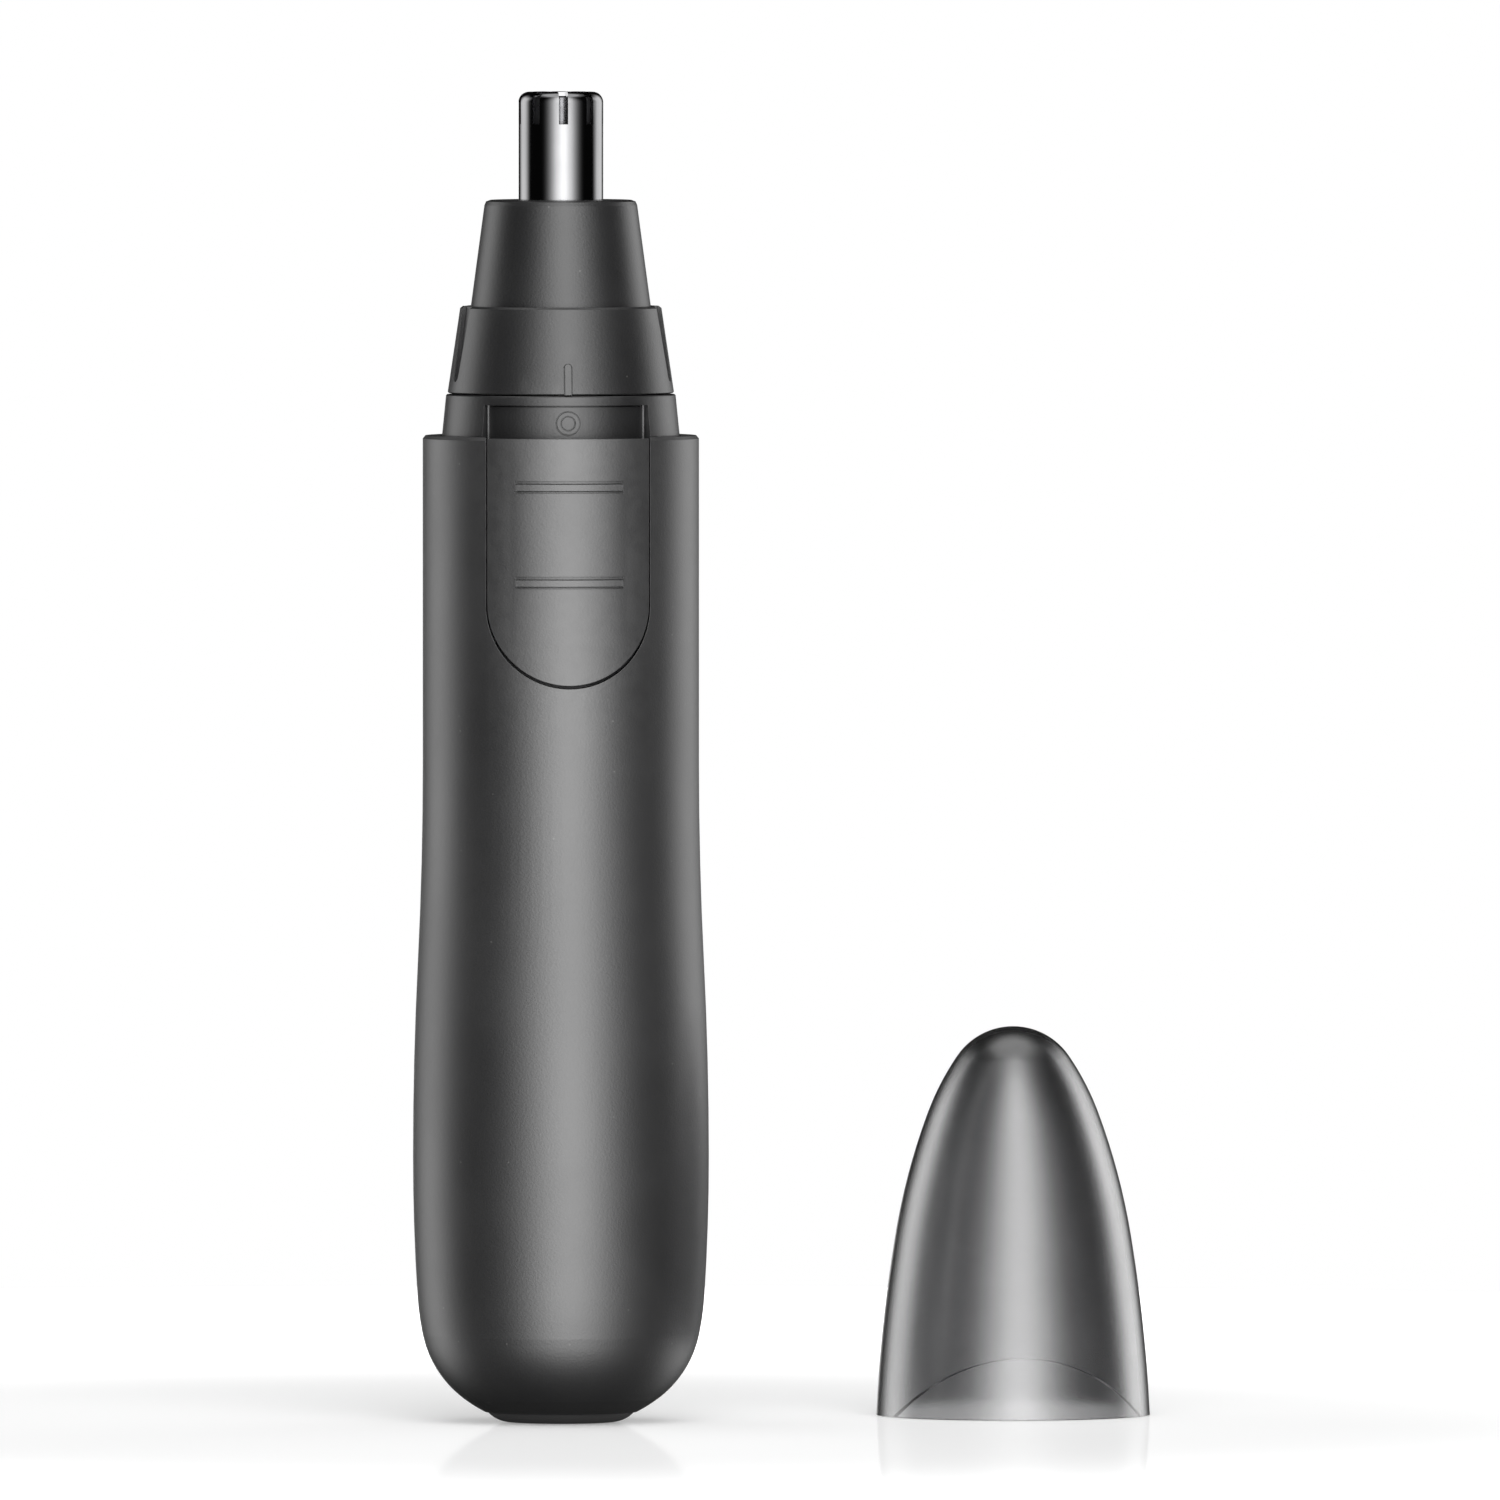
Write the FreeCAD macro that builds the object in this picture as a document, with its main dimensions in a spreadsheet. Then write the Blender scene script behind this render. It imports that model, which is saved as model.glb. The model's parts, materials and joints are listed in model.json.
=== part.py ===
import FreeCAD, Part
import math
import os
import re
import Sketcher
from FreeCAD import Placement, Rotation, Vector

# Nose hair trimmer with its protective cap, in millimetres, +Z up, the front towards -Y.
# The origin is the centre of the foot's flat underside.

os.makedirs("parts", exist_ok=True)
doc = FreeCAD.newDocument("nose_hair_trimmer")

DIMENSIONS = [
    ("shell_radius", 13.03, "straight upper part of the handle"),
    ("belly_radius", 13.96, "widest part of the handle"),
    ("rim_height", 93.1, "top rim of the handle shell"),
    ("waist_height", 62.0, "where the handle starts to swell"),
    ("belly_height", 25.0, "height of the widest part"),
    ("crease_height", 0.94, "crease between the shell and the foot"),
    ("bore_radius", 11.4, "inside of the handle shell"),
    ("foot_radius", 6.93, "foot at the crease"),
    ("foot_flat", 4.6, "flat underside of the foot"),
    ("tongue_half", 7.62, "half width of the slide switch tongue"),
    ("tongue_gap", 0.12, "gap beside the tongue"),
    ("tongue_drop", 0.22, "how much wider the gap is under the tongue's round end"),
    ("tongue_turn", 77.43, "height of the centre of the tongue's round end"),
    ("tongue_inside", 11.65, "inner radius of the tongue"),
    ("carrier_low", 66.5, "lower end of the plate which fills the opening behind the tongue"),
    ("rib_length", 10.0, "finger rib length"),
    ("rib_height", 0.8, "finger rib height"),
    ("rib_raise", 0.32, "finger rib above the tongue"),
    ("rib_low", 79.43, "lower finger rib"),
    ("rib_high", 88.43, "upper finger rib"),
    ("collar_low", 11.2, "neck collar at the rim"),
    ("collar_high", 10.83, "neck collar under the ring"),
    ("collar_top", 96.98, "shoulder the ring turns on"),
    ("window_top", 96.1, "top of the window in the collar"),
    ("window_sweep", 90.0, "degrees the window takes round the collar"),
    ("hub_radius", 8.0, "hub the ring turns on"),
    ("hub_top", 102.1, "top of the hub"),
    ("ring_low", 10.67, "lock ring, lower edge"),
    ("ring_high", 9.45, "lock ring, upper edge"),
    ("ring_base", 97.1, "underside of the lock ring"),
    ("ring_top", 105.3, "top of the lock ring"),
    ("edge", 0.1, "broken edge where two mouldings meet"),
    ("line_width", 0.11, "fine line cut round a raised mark"),
    ("line_depth", 0.2, "depth of that line"),
    ("ring_fit", 0.06, "running clearance of the ring on the hub"),
    ("cone_low", 8.5, "head cone where it leaves the ring"),
    ("cone_high", 7.15, "head cone at its top"),
    ("cone_top", 115.3, "top of the head cone"),
    ("skirt_base", 102.5, "lower edge of the head"),
    ("head_bore", 4.9, "bore of the head"),
    ("tube_radius", 4.0, "outer cutter"),
    ("tube_wall", 0.38, "wall of the outer cutter"),
    ("tube_top", 125.5, "top of the outer cutter"),
    ("tube_base", 109.4, "flange of the outer cutter"),
    ("tube_round", 1.0, "rounded top edge of the outer cutter"),
    ("slot_width", 0.87, "hair slot"),
    ("slot_depth", 3.03, "hair slot below the top"),
    ("frame_radius", 11.1, "inner frame"),
    ("frame_base", 9.6, "lower end of the frame's barrel"),
    ("frame_top", 88.5, "top of the frame, seat of the collar"),
    ("stub_radius", 7.4, "spring cup under the frame"),
    ("stub_base", 3.5, "underside of the spring cup"),
    ("cell_radius", 7.2, "single round cell"),
    ("cell_base", 9.6, "lower end of the cell"),
    ("cell_top", 59.0, "shoulder of the cell"),
    ("cradle_radius", 7.45, "cradle for the cell"),
    ("cradle_top", 60.9, "upper end of the cradle"),
    ("motor_radius", 10.0, "round sides of the motor"),
    ("motor_flat", 7.5, "flat sides of the motor from its axis"),
    ("motor_base", 63.4, "lower end of the motor"),
    ("motor_seam", 66.0, "seam between end cap and can"),
    ("motor_top", 86.0, "top of the motor can"),
    ("motor_wall", 0.8, "wall of the motor can"),
    ("shaft_radius", 1.0, "motor shaft"),
    ("screw_height", 62.2, "screws of the rear cover"),
    ("cap_radius", 12.97, "protective cap at its mouth"),
    ("cap_wall", 1.35, "wall of the protective cap"),
    ("cap_across", 43.7, "where the cap stands to the right of the trimmer"),
    ("cap_back", 12.0, "how far behind the trimmer the cap stands"),
]


def make_sheet():
    sheet = doc.addObject("Spreadsheet::Sheet", "dims")
    for row, (alias, value, meaning) in enumerate(DIMENSIONS, start=1):
        sheet.set(f"A{row}", meaning)
        sheet.set(f"B{row}", str(value))
        sheet.setAlias(f"B{row}", alias)
    doc.recompute()
    return sheet


SHEET = make_sheet()
ALIASES = {alias for alias, _, _ in DIMENSIONS}
NODES = []


def sized(rule):
    """Write a rule with the sheet's names in full, so that an object can be bound to it."""
    return re.sub(r"[a-z_]+", lambda m: "dims." + m[0] if m[0] in ALIASES else m[0], str(rule))


def size(rule):
    """The number a rule gives now."""
    value = SHEET.evalExpression(sized(rule))
    return float(getattr(value, "Value", value))


def node(name, made):
    made.Label = name
    NODES.append(made)
    return made


# Sketches and the solids made from them


def new_body(name):
    return doc.addObject("PartDesign::Body", name)


def new_sketch(body, name, plane, away=0.0):
    sketch = body.newObject("Sketcher::SketchObject", name)
    origin = next(f for f in body.Origin.OriginFeatures if f.Role == plane)
    sketch.AttachmentSupport = (origin, "")
    sketch.MapMode = "FlatFace"
    sketch.AttachmentOffset = Placement(Vector(0, 0, size(away)), Rotation())
    return sketch


def pin_point(sketch, edge, end, across, up):
    for kind, rule in (("DistanceX", across), ("DistanceY", up)):
        if rule is None:
            continue
        mark = sketch.addConstraint(Sketcher.Constraint(kind, -1, 1, edge, end, size(rule)))
        sketch.setExpression(f"Constraints[{mark}]", sized(rule))


def polygon(sketch, corners):
    """A closed outline of straight lines; each corner is bound to the sheet."""
    spots = [Vector(size(across), size(up), 0) for across, up in corners]
    first = sketch.GeometryCount
    count = len(spots)
    for i in range(count):
        sketch.addGeometry(Part.LineSegment(spots[i], spots[(i + 1) % count]), False)
    for i in range(count):
        sketch.addConstraint(
            Sketcher.Constraint("Coincident", first + i, 2, first + (i + 1) % count, 1)
        )
        pin_point(sketch, first + i, 1, *corners[i])


def curved_outline(sketch, side, rest):
    """A closed outline whose outer side is a run of arcs, each tangent to the next.

    side starts as (radius, height, lean) with the lean in degrees from upright; every leg
    after it is (arc radius, height where it ends); a negative arc radius bends outwards.
    rest lists the straight corners which close the outline.
    """
    across, up, lean = side[0]
    here = Vector(size(across), size(up), 0)
    slope = math.sin(math.radians(lean))
    first = sketch.GeometryCount
    for leg, top in side[1:]:
        bend = size(leg)
        rise = size(top) - here.y
        turned = slope + rise / bend
        before = math.sqrt(1 - slope**2)
        after = math.sqrt(max(0.0, 1 - turned**2))
        there = Vector(here.x - bend * (before - after), here.y + rise, 0)
        middle_slope = math.sin((math.asin(slope) + math.asin(min(1.0, turned))) / 2)
        middle = Vector(
            here.x - bend * (before - math.sqrt(1 - middle_slope**2)),
            here.y + bend * (middle_slope - slope),
            0,
        )
        sketch.addGeometry(Part.Arc(here, middle, there), False)
        here, slope = there, turned
    arcs = len(side) - 1
    corners = [Vector(size(a), size(b), 0) for a, b in rest]
    spots = [here] + corners + [Vector(size(across), size(up), 0)]
    for start, end in zip(spots[:-1], spots[1:]):
        sketch.addGeometry(Part.LineSegment(start, end), False)
    ends = [(1, 2) if size(leg) > 0 else (2, 1) for leg, _ in side[1:]]
    for i in range(arcs):
        mark = sketch.addConstraint(
            Sketcher.Constraint("Radius", first + i, abs(size(side[i + 1][0])))
        )
        sketch.setExpression(f"Constraints[{mark}]", sized(f"abs({side[i + 1][0]})"))
        if i < arcs - 1:
            pin_point(sketch, first + i, ends[i][1], None, side[i + 1][1])
            sketch.addConstraint(Sketcher.Constraint(
                "Tangent", first + i, ends[i][1], first + i + 1, ends[i + 1][0]))
    lines = first + arcs
    sketch.addConstraint(
        Sketcher.Constraint("Coincident", lines + len(rest), 2, first, ends[0][0]))
    for i, (a, b) in enumerate(rest):
        sketch.addConstraint(Sketcher.Constraint("Coincident", lines + i, 2, lines + i + 1, 1))
        pin_point(sketch, lines + i, 2, a, b)
    return first + arcs - 1, ends[-1][1], lines


def revolve(body, name, sketch, angle=360.0, kind="Revolution"):
    turned = body.newObject("PartDesign::" + kind, name)
    turned.Profile = sketch
    turned.ReferenceAxis = (sketch, ["V_Axis"])
    turned.Angle = angle
    turned.Midplane = angle < 360.0
    doc.recompute()
    return turned


def turned_body(name, corners):
    """A round part spun about the Z axis from its half outline."""
    body = new_body(name)
    sketch = new_sketch(body, name + "_outline", "XZ_Plane")
    polygon(sketch, corners)
    revolve(body, name + "_spin", sketch)
    return body


def front_sector(body, name, corners, angle, kind):
    """Spin an outline through a limited angle about the front of the trimmer."""
    sketch = new_sketch(body, name + "_outline", "YZ_Plane")
    polygon(sketch, corners)
    return revolve(body, name, sketch, angle, kind)


def extrude(body, name, sketch, length, kind="Pad", backwards=False):
    made = body.newObject("PartDesign::" + kind, name)
    made.Profile = sketch
    made.setExpression("Length", sized(length))
    made.Reversed = backwards
    doc.recompute()
    return made


# Plain solids and what is joined or taken away


def box(name, across, deep, up):
    """A block from its two limits along each axis."""
    made = doc.addObject("Part::Box", name)
    for side, (low, high) in zip(("Length", "Width", "Height"), (across, deep, up)):
        made.setExpression(side, sized(f"({high}) - ({low})"))
    for axis, (low, _) in zip("xyz", (across, deep, up)):
        made.setExpression("Placement.Base." + axis, sized(low))
    return made


def post(name, radius, low, high, across=0, deep=0, angle=360, start=0):
    """An upright cylinder, or a sector of one that starts at an angle."""
    made = doc.addObject("Part::Cylinder", name)
    made.Placement = Placement(Vector(0, 0, 0), Rotation(Vector(0, 0, 1), start))
    made.Angle = angle
    made.setExpression("Radius", sized(radius))
    made.setExpression("Height", sized(f"({high}) - ({low})"))
    made.setExpression("Placement.Base.x", sized(across))
    made.setExpression("Placement.Base.y", sized(deep))
    made.setExpression("Placement.Base.z", sized(low))
    return made


def bar_along_y(name, radius, start, length, across, up):
    """A cylinder lying front to back, from its front end."""
    made = doc.addObject("Part::Cylinder", name)
    made.Placement = Placement(Vector(0, 0, 0), Rotation(Vector(1, 0, 0), -90))
    made.setExpression("Radius", sized(radius))
    made.setExpression("Height", sized(length))
    made.setExpression("Placement.Base.x", sized(across))
    made.setExpression("Placement.Base.y", sized(start))
    made.setExpression("Placement.Base.z", sized(up))
    return made


def ring(name, outer, inner, low, high, **turn):
    return less(name, post(name + "_out", outer, low, high, **turn),
                post(name + "_in", inner, f"({low}) - 1", f"({high}) + 1"))


def less(name, base, *tools):
    made = doc.addObject("Part::Cut", name)
    made.Base = base
    made.Tool = tools[0] if len(tools) == 1 else joined(name + "_tools", *tools)
    return made


def joined(name, *pieces):
    made = doc.addObject("Part::MultiFuse", name)
    made.Shapes = list(pieces)
    return made


def shared(name, one, other):
    made = doc.addObject("Part::Common", name)
    made.Base = one
    made.Tool = other
    return made


def group(name, pieces):
    """Several separate solids kept as one node."""
    made = doc.addObject("Part::Compound", name)
    made.Links = list(pieces)
    return made


def coil(name, radius, wire, low, high, turns):
    """A round wire spring standing on the axis."""
    body = new_body(name + "_body")
    sketch = new_sketch(body, name + "_wire", "XZ_Plane")
    centre = Vector(size(radius), size(f"({low}) + ({wire})"), 0)
    sketch.addGeometry(Part.Circle(centre, Vector(0, 0, 1), size(wire)), False)
    sketch.addConstraint(Sketcher.Constraint("Radius", 0, size(wire)))
    pin_point(sketch, 0, 3, radius, f"({low}) + ({wire})")
    helix = body.newObject("PartDesign::AdditiveHelix", name + "_helix")
    helix.Profile = sketch
    helix.ReferenceAxis = (sketch, ["V_Axis"])
    helix.Mode = "pitch-height-angle"
    helix.setExpression("Pitch", sized(f"(({high}) - ({low}) - 2 * ({wire})) / {turns}"))
    helix.setExpression("Height", sized(f"({high}) - ({low}) - 2 * ({wire})"))
    doc.recompute()
    return body


# The handle


def handle_shell():
    body = new_body("shell_body")
    sketch = new_sketch(body, "shell_outline", "XZ_Plane")
    side = [
        ("7.16", "crease_height", -62.5),
        ("14", 2.2),
        ("10.2", 8.3),
        ("27", 12.0),
        ("205", "belly_height"),
        ("368", 43.5),
        ("-368", "waist_height"),
    ]
    rest = [
        ("shell_radius", "rim_height - 0.3"),
        ("shell_radius - 0.25", "rim_height"),
        ("bore_radius", "rim_height"),
        ("bore_radius", 9.0),
        (8.3, 4.2),
        (7.0, 2.6),
        (2.2, 2.6),
        (2.2, "crease_height"),
    ]
    last, end, lines = curved_outline(sketch, side, rest)
    pin_point(sketch, 0, 1, None, "crease_height")
    pin_point(sketch, last, end, "shell_radius", "waist_height")
    sketch.addConstraint(Sketcher.Constraint("Tangent", last, end, lines, 1))
    revolve(body, "shell_spin", sketch)
    notch = new_sketch(body, "notch_outline", "XZ_Plane")
    tongue_outline(notch, "tongue_gap", "rim_height + 5")
    extrude(body, "notch", notch, "belly_radius + 5", "Pocket", True)
    return node("handle_shell", body)


def tongue_outline(sketch, extra, top):
    """The U outline of the opening for the tongue, wider than the tongue all round."""
    half = size(f"tongue_half + {extra}")
    low = "tongue_turn - tongue_drop"
    turn, high = size(low), size(top)
    sketch.addGeometry(Part.LineSegment(Vector(-half, turn, 0), Vector(-half, high, 0)), False)
    sketch.addGeometry(Part.LineSegment(Vector(-half, high, 0), Vector(half, high, 0)), False)
    sketch.addGeometry(Part.LineSegment(Vector(half, high, 0), Vector(half, turn, 0)), False)
    round_end = Part.Arc(Vector(-half, turn, 0), Vector(0, turn - half, 0), Vector(half, turn, 0))
    sketch.addGeometry(round_end, False)
    for one, other in ((0, 1), (1, 2)):
        sketch.addConstraint(Sketcher.Constraint("Coincident", one, 2, other, 1))
    sketch.addConstraint(Sketcher.Constraint("Coincident", 2, 2, 3, 2))
    sketch.addConstraint(Sketcher.Constraint("Coincident", 3, 1, 0, 1))
    pin_point(sketch, 0, 1, f"-tongue_half - {extra}", low)
    pin_point(sketch, 0, 2, f"-tongue_half - {extra}", top)
    pin_point(sketch, 1, 2, f"tongue_half + {extra}", top)
    pin_point(sketch, 2, 2, f"tongue_half + {extra}", low)
    pin_point(sketch, 3, 3, None, low)


def base_foot():
    body = new_body("foot_body")
    sketch = new_sketch(body, "foot_outline", "XZ_Plane")
    start = Vector(size("foot_flat"), 0, 0)
    edge = Vector(size("foot_radius"), size("crease_height"), 0)
    sketch.addGeometry(Part.Arc(start, Vector(start.x + 1.45, 0.27, 0), edge), False)
    inner = [(2.15, "crease_height"), (2.15, 3.4), (0, 3.4), (0, 0)]
    spots = [edge] + [Vector(size(a), size(b), 0) for a, b in inner] + [start]
    for one, other in zip(spots[:-1], spots[1:]):
        sketch.addGeometry(Part.LineSegment(one, other), False)
    revolve(body, "foot_spin", sketch)
    return node("base_foot", body)


# The slide switch


def slide_switch():
    body = new_body("tongue_body")
    outline = [("-shell_radius", 60), ("-tongue_inside", 60),
               ("-tongue_inside", "rim_height - 0.1"), ("-shell_radius", "rim_height - 0.1")]
    front_sector(body, "tongue_wall", outline, 90, "Revolution")
    sketch = new_sketch(body, "tongue_outline", "XZ_Plane")
    polygon(sketch, [(-20, 50), (20, 50), (20, "rim_height + 10"), (-20, "rim_height + 10")])
    shape_tongue(sketch)
    extrude(body, "tongue_trim", sketch, "belly_radius + 5", "Pocket", True)
    for name, level in (("rib_a", "rib_low"), ("rib_b", "rib_high")):
        add_rib(body, name, level)
    stem = new_sketch(body, "stem_outline", "XZ_Plane", "tongue_inside - 1.9")
    polygon(stem, [(-2, 78), (2, 78), (2, 84), (-2, 84)])
    extrude(body, "stem", stem, 2.2)
    return node("slide_switch", body)


def add_rib(body, name, level):
    """A finger rib with sloping sides, in a shallow bed which leaves a fine line round it."""
    wide = 2 * math.degrees(math.asin(size("rib_length") / 2 / size("shell_radius")))
    more = 2 * math.degrees(size("line_width / shell_radius"))
    half = "rib_height / 2"
    bed = [("-shell_radius - 1", f"{level} - {half} - line_width"),
           ("-shell_radius + line_depth", f"{level} - {half} - line_width"),
           ("-shell_radius + line_depth", f"{level} + {half} + 2 * line_width"),
           ("-shell_radius - 1", f"{level} + {half} + 2 * line_width")]
    front_sector(body, name + "_bed", bed, wide + more, "Groove")
    rib = [("-shell_radius + 0.4", f"{level} - {half}"),
           ("-shell_radius - rib_raise", f"{level} - {half} + 0.1"),
           ("-shell_radius - rib_raise", f"{level} + {half} - 0.1"),
           ("-shell_radius + 0.4", f"{level} + {half}")]
    front_sector(body, name, rib, wide, "Revolution")


def shape_tongue(sketch):
    """The tongue's own U inside the sheet which is trimmed away round it."""
    first = sketch.GeometryCount
    half, turn, high = size("tongue_half"), size("tongue_turn"), size("rim_height + 5")
    corners = [Vector(-half, turn, 0), Vector(-half, high, 0), Vector(half, high, 0),
               Vector(half, turn, 0)]
    for one, other in zip(corners[:-1], corners[1:]):
        sketch.addGeometry(Part.LineSegment(one, other), False)
    round_end = Part.Arc(corners[0], Vector(0, turn - half, 0), corners[3])
    sketch.addGeometry(round_end, False)
    for one, other in ((0, 1), (1, 2)):
        sketch.addConstraint(Sketcher.Constraint("Coincident", first + one, 2, first + other, 1))
    pin_point(sketch, first, 1, "-tongue_half", "tongue_turn")
    pin_point(sketch, first, 2, "-tongue_half", "rim_height + 5")
    pin_point(sketch, first + 1, 2, "tongue_half", "rim_height + 5")
    pin_point(sketch, first + 2, 2, "tongue_half", "tongue_turn")


def switch_carrier():
    block = box("carrier_block", ("-7.4", "7.4"), (-12, -8.75), ("carrier_low", 84.8))
    shaped = shared("carrier_round", block, post("carrier_limit", 11.0, 60, 90))
    stem_hole = box("carrier_stem_hole", (-2.05, 2.05), (-12, -9.7), (77.95, 84.05))
    bridge_hole = box("carrier_bridge_hole", (-4.3, 4.3), (-9.3, -8), (74.3, 76.7))
    return node("switch_carrier", less("carrier", shaped, stem_hole, bridge_hole))


def switch_bridge():
    return node("switch_bridge", box("bridge", (-4.2, 4.2), (-9.2, -8.6), (74.5, 76.5)))


# The inner frame which carries the cell, the motor and the neck


def inner_frame():
    barrel = post("frame_barrel", "frame_radius", "frame_base - 0.9", "frame_top")
    stub = post("frame_stub", "stub_radius", "stub_base", "frame_base")
    solid = joined("frame_solid", barrel, stub)
    cradle = post("frame_cradle", "cradle_radius", "frame_base", "cradle_top")
    way_in = box("frame_way_in", ("-cradle_radius", "cradle_radius"), (0, 15),
                 ("frame_base", "cradle_top"))
    spring_cup = post("frame_spring_cup", 5.4, 5.0, "frame_base + 1")
    motor_seat = shared("frame_motor_round",
                        post("frame_motor_seat", "motor_radius + 0.08", 63.3, 86.1),
                        box("frame_motor_flats", (-12, 12), ("-motor_flat - 0.08", 12),
                            (63, 87)))
    cover_seat = box("frame_cover_seat", (-12, 12), (5.95, 12), ("cradle_top - 0.1", 86.1))
    boss_hole = post("frame_boss_hole", 3.1, 85, "frame_top + 1")
    switch_way = box("frame_switch_way", (-7.6, 7.6), (-12, -8.3),
                     ("carrier_low - 0.4", "frame_top + 1"))
    plus_slot = box("frame_plus_slot", (-4.1, -0.9), (-8.6, -5), (60.2, 60.8))
    plus_rise = box("frame_plus_rise", (-4.1, -0.9), (-8.6, -8.2), (60.2, "carrier_low"))
    motor_slot = box("frame_motor_slot", (0.9, 4.1), (-8.6, -6.2), (64.2, 65.2))
    motor_rise = box("frame_motor_rise", (0.9, 4.1), (-8.6, -8.2), (64.2, "carrier_low"))
    side_groove = box("frame_side_groove", (-12, -10.6), (-1.4, 1.4), (5, 66.2))
    side_slot = box("frame_side_slot", (-12, -9.9), (-1.4, 1.4), (64.0, 66.2))
    cup_slot = box("frame_cup_slot", (-8, -5), (-1.4, 1.4), (5.0, 5.4))
    screw_holes = [bar_along_y(f"frame_screw_hole_{i}", 0.66, 2.5, 6, x, "screw_height")
                   for i, x in enumerate((-6.5, 6.5))]
    made = less("frame", solid, cradle, way_in, spring_cup, motor_seat, cover_seat, boss_hole,
                switch_way, plus_slot, plus_rise, motor_slot, motor_rise, side_groove, side_slot,
                cup_slot, *screw_holes)
    return node("inner_frame", made)


def frame_cover():
    block = box("cover_block", (-12, 12), (6.0, 12), ("cradle_top + 0.05", 86.0))
    shaped = shared("cover_round", block, post("cover_limit", "frame_radius", 60, 90))
    hollow = shared("cover_hollow", post("cover_motor", "motor_radius + 0.08", 63.3, 87),
                    box("cover_flats", (-12, 12), (0, "motor_flat + 0.08"), (63.3, 87)))
    holes = [bar_along_y(f"cover_screw_hole_{i}", 0.85, 2, 12, x, "screw_height")
             for i, x in enumerate((-6.5, 6.5))]
    sinks = [bar_along_y(f"cover_screw_sink_{i}", 1.22, 7.6, 6, x, "screw_height")
             for i, x in enumerate((-6.5, 6.5))]
    return node("frame_cover", less("cover", shaped, hollow, *holes, *sinks))


def frame_screws():
    screws = []
    for i, x in enumerate((-6.5, 6.5)):
        stem = bar_along_y(f"screw_stem_{i}", 0.62, 3.0, 4.7, x, "screw_height")
        head = bar_along_y(f"screw_head_{i}", 1.15, 7.65, 0.75, x, "screw_height")
        whole = joined(f"screw_whole_{i}", stem, head)
        cross = [box(f"screw_cross_{i}{n}", (f"{x} - {w}", f"{x} + {w}"), (8.0, 8.6),
                     (f"screw_height - {t}", f"screw_height + {t}"))
                 for n, (w, t) in enumerate(((0.85, 0.14), (0.14, 0.85)))]
        screws.append(less(f"screw_{i}", whole, *cross))
    return node("frame_screws", group("screws", screws))


def neck_collar():
    body = turned_body("collar_body", [
        (4.6, "frame_top"), (10.95, "frame_top"), (10.95, 92.4), ("collar_low", 92.9),
        ("collar_low", 93.2), ("collar_high", "collar_top - edge"),
        ("collar_high - edge", "collar_top"), ("hub_radius", "collar_top"),
        ("hub_radius", 100.9), ("hub_radius - 0.5", 100.9), ("hub_radius - 0.5", 101.5),
        ("hub_radius", 101.5), ("hub_radius", "hub_top"), (4.6, "hub_top"), (4.6, 96.0),
        (9.2, 94.6), (9.2, "frame_top + 1.5"), (4.6, "frame_top + 1.5")])
    window = [(-13, 92.95), ("-10.45", 92.95), ("-10.45", "window_top"), (-13, "window_top")]
    front_sector(body, "window", window, size("window_sweep"), "Groove")
    seal = new_sketch(body, "seal_groove_outline", "XZ_Plane")
    polygon(seal, [(10.35, 89.9), (12, 89.9), (12, 91.1), (10.35, 91.1)])
    revolve(body, "seal_groove", seal, kind="Groove")
    bed = rings_sketch(body, "off_mark_bed_outline", ("1.05 + line_width", "0.72 - line_width"))
    extrude(body, "off_mark_bed", bed, 3, "Pocket", True)
    mark = rings_sketch(body, "off_mark_outline", ("1.05", "0.72"))
    extrude(body, "off_mark", mark, 0.33)
    stop = [("-hub_radius + 0.3", "collar_top - 0.3"), (-9.1, "collar_top - 0.3"),
            (-9.1, "collar_top + 0.9"), ("-hub_radius + 0.3", "collar_top + 0.9")]
    stop_sketch = new_sketch(body, "stop_outline", "YZ_Plane")
    polygon(stop_sketch, [(f"-({a})", b) for a, b in stop])
    revolve(body, "stop", stop_sketch, 10, "Revolution")
    turn, reach = math.radians(size("window_sweep / 2")), 10.45
    side = round(reach * math.sin(turn), 4)
    slits = [box(f"window_slit_{i}", (min(x, 0.975 * x), max(x, 0.975 * x)), (-9.2, -7.2),
                 (92.95, "window_top")) for i, x in enumerate((-side, side))]
    slits.append(ring("window_slit_top", 10.6, 10.0, "window_top - 0.14", "window_top",
                      angle=size("window_sweep"), start=270 - size("window_sweep / 2")))
    return node("neck_collar", less("collar", body, *slits))


def rings_sketch(body, name, radii):
    """Two circles round the middle of the window."""
    sketch = new_sketch(body, name, "XZ_Plane", 10.25)
    for rule in radii:
        centre = Vector(0, 94.42, 0)
        circle = sketch.addGeometry(Part.Circle(centre, Vector(0, 0, 1), size(rule)), False)
        mark = sketch.addConstraint(Sketcher.Constraint("Radius", circle, size(rule)))
        sketch.setExpression(f"Constraints[{mark}]", sized(rule))
        pin_point(sketch, circle, 3, None, 94.42)
    return sketch


def neck_seal():
    made = doc.addObject("Part::Torus", "seal_round")
    made.setExpression("Radius1", "10.87")
    made.setExpression("Radius2", "0.45")
    made.setExpression("Placement.Base.z", "90.5")
    return node("neck_seal", made)


def ring_clip():
    """An open retaining ring in the hub's groove; its gap is at the back."""
    clip = ring("clip", "hub_radius + 0.42", "hub_radius - 0.42", 101.0, 101.4,
                angle=320, start=110)
    return node("ring_clip", clip)


def shaft_seal():
    return node("shaft_seal", turned_body("shaft_seal_body", [
        (2.75, 96.6), (3.3, 96.3), (4.55, 96.3), (4.55, 98.6), (3.3, 98.6), (2.75, 97.2)]))


# The cell and what carries its current


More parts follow.
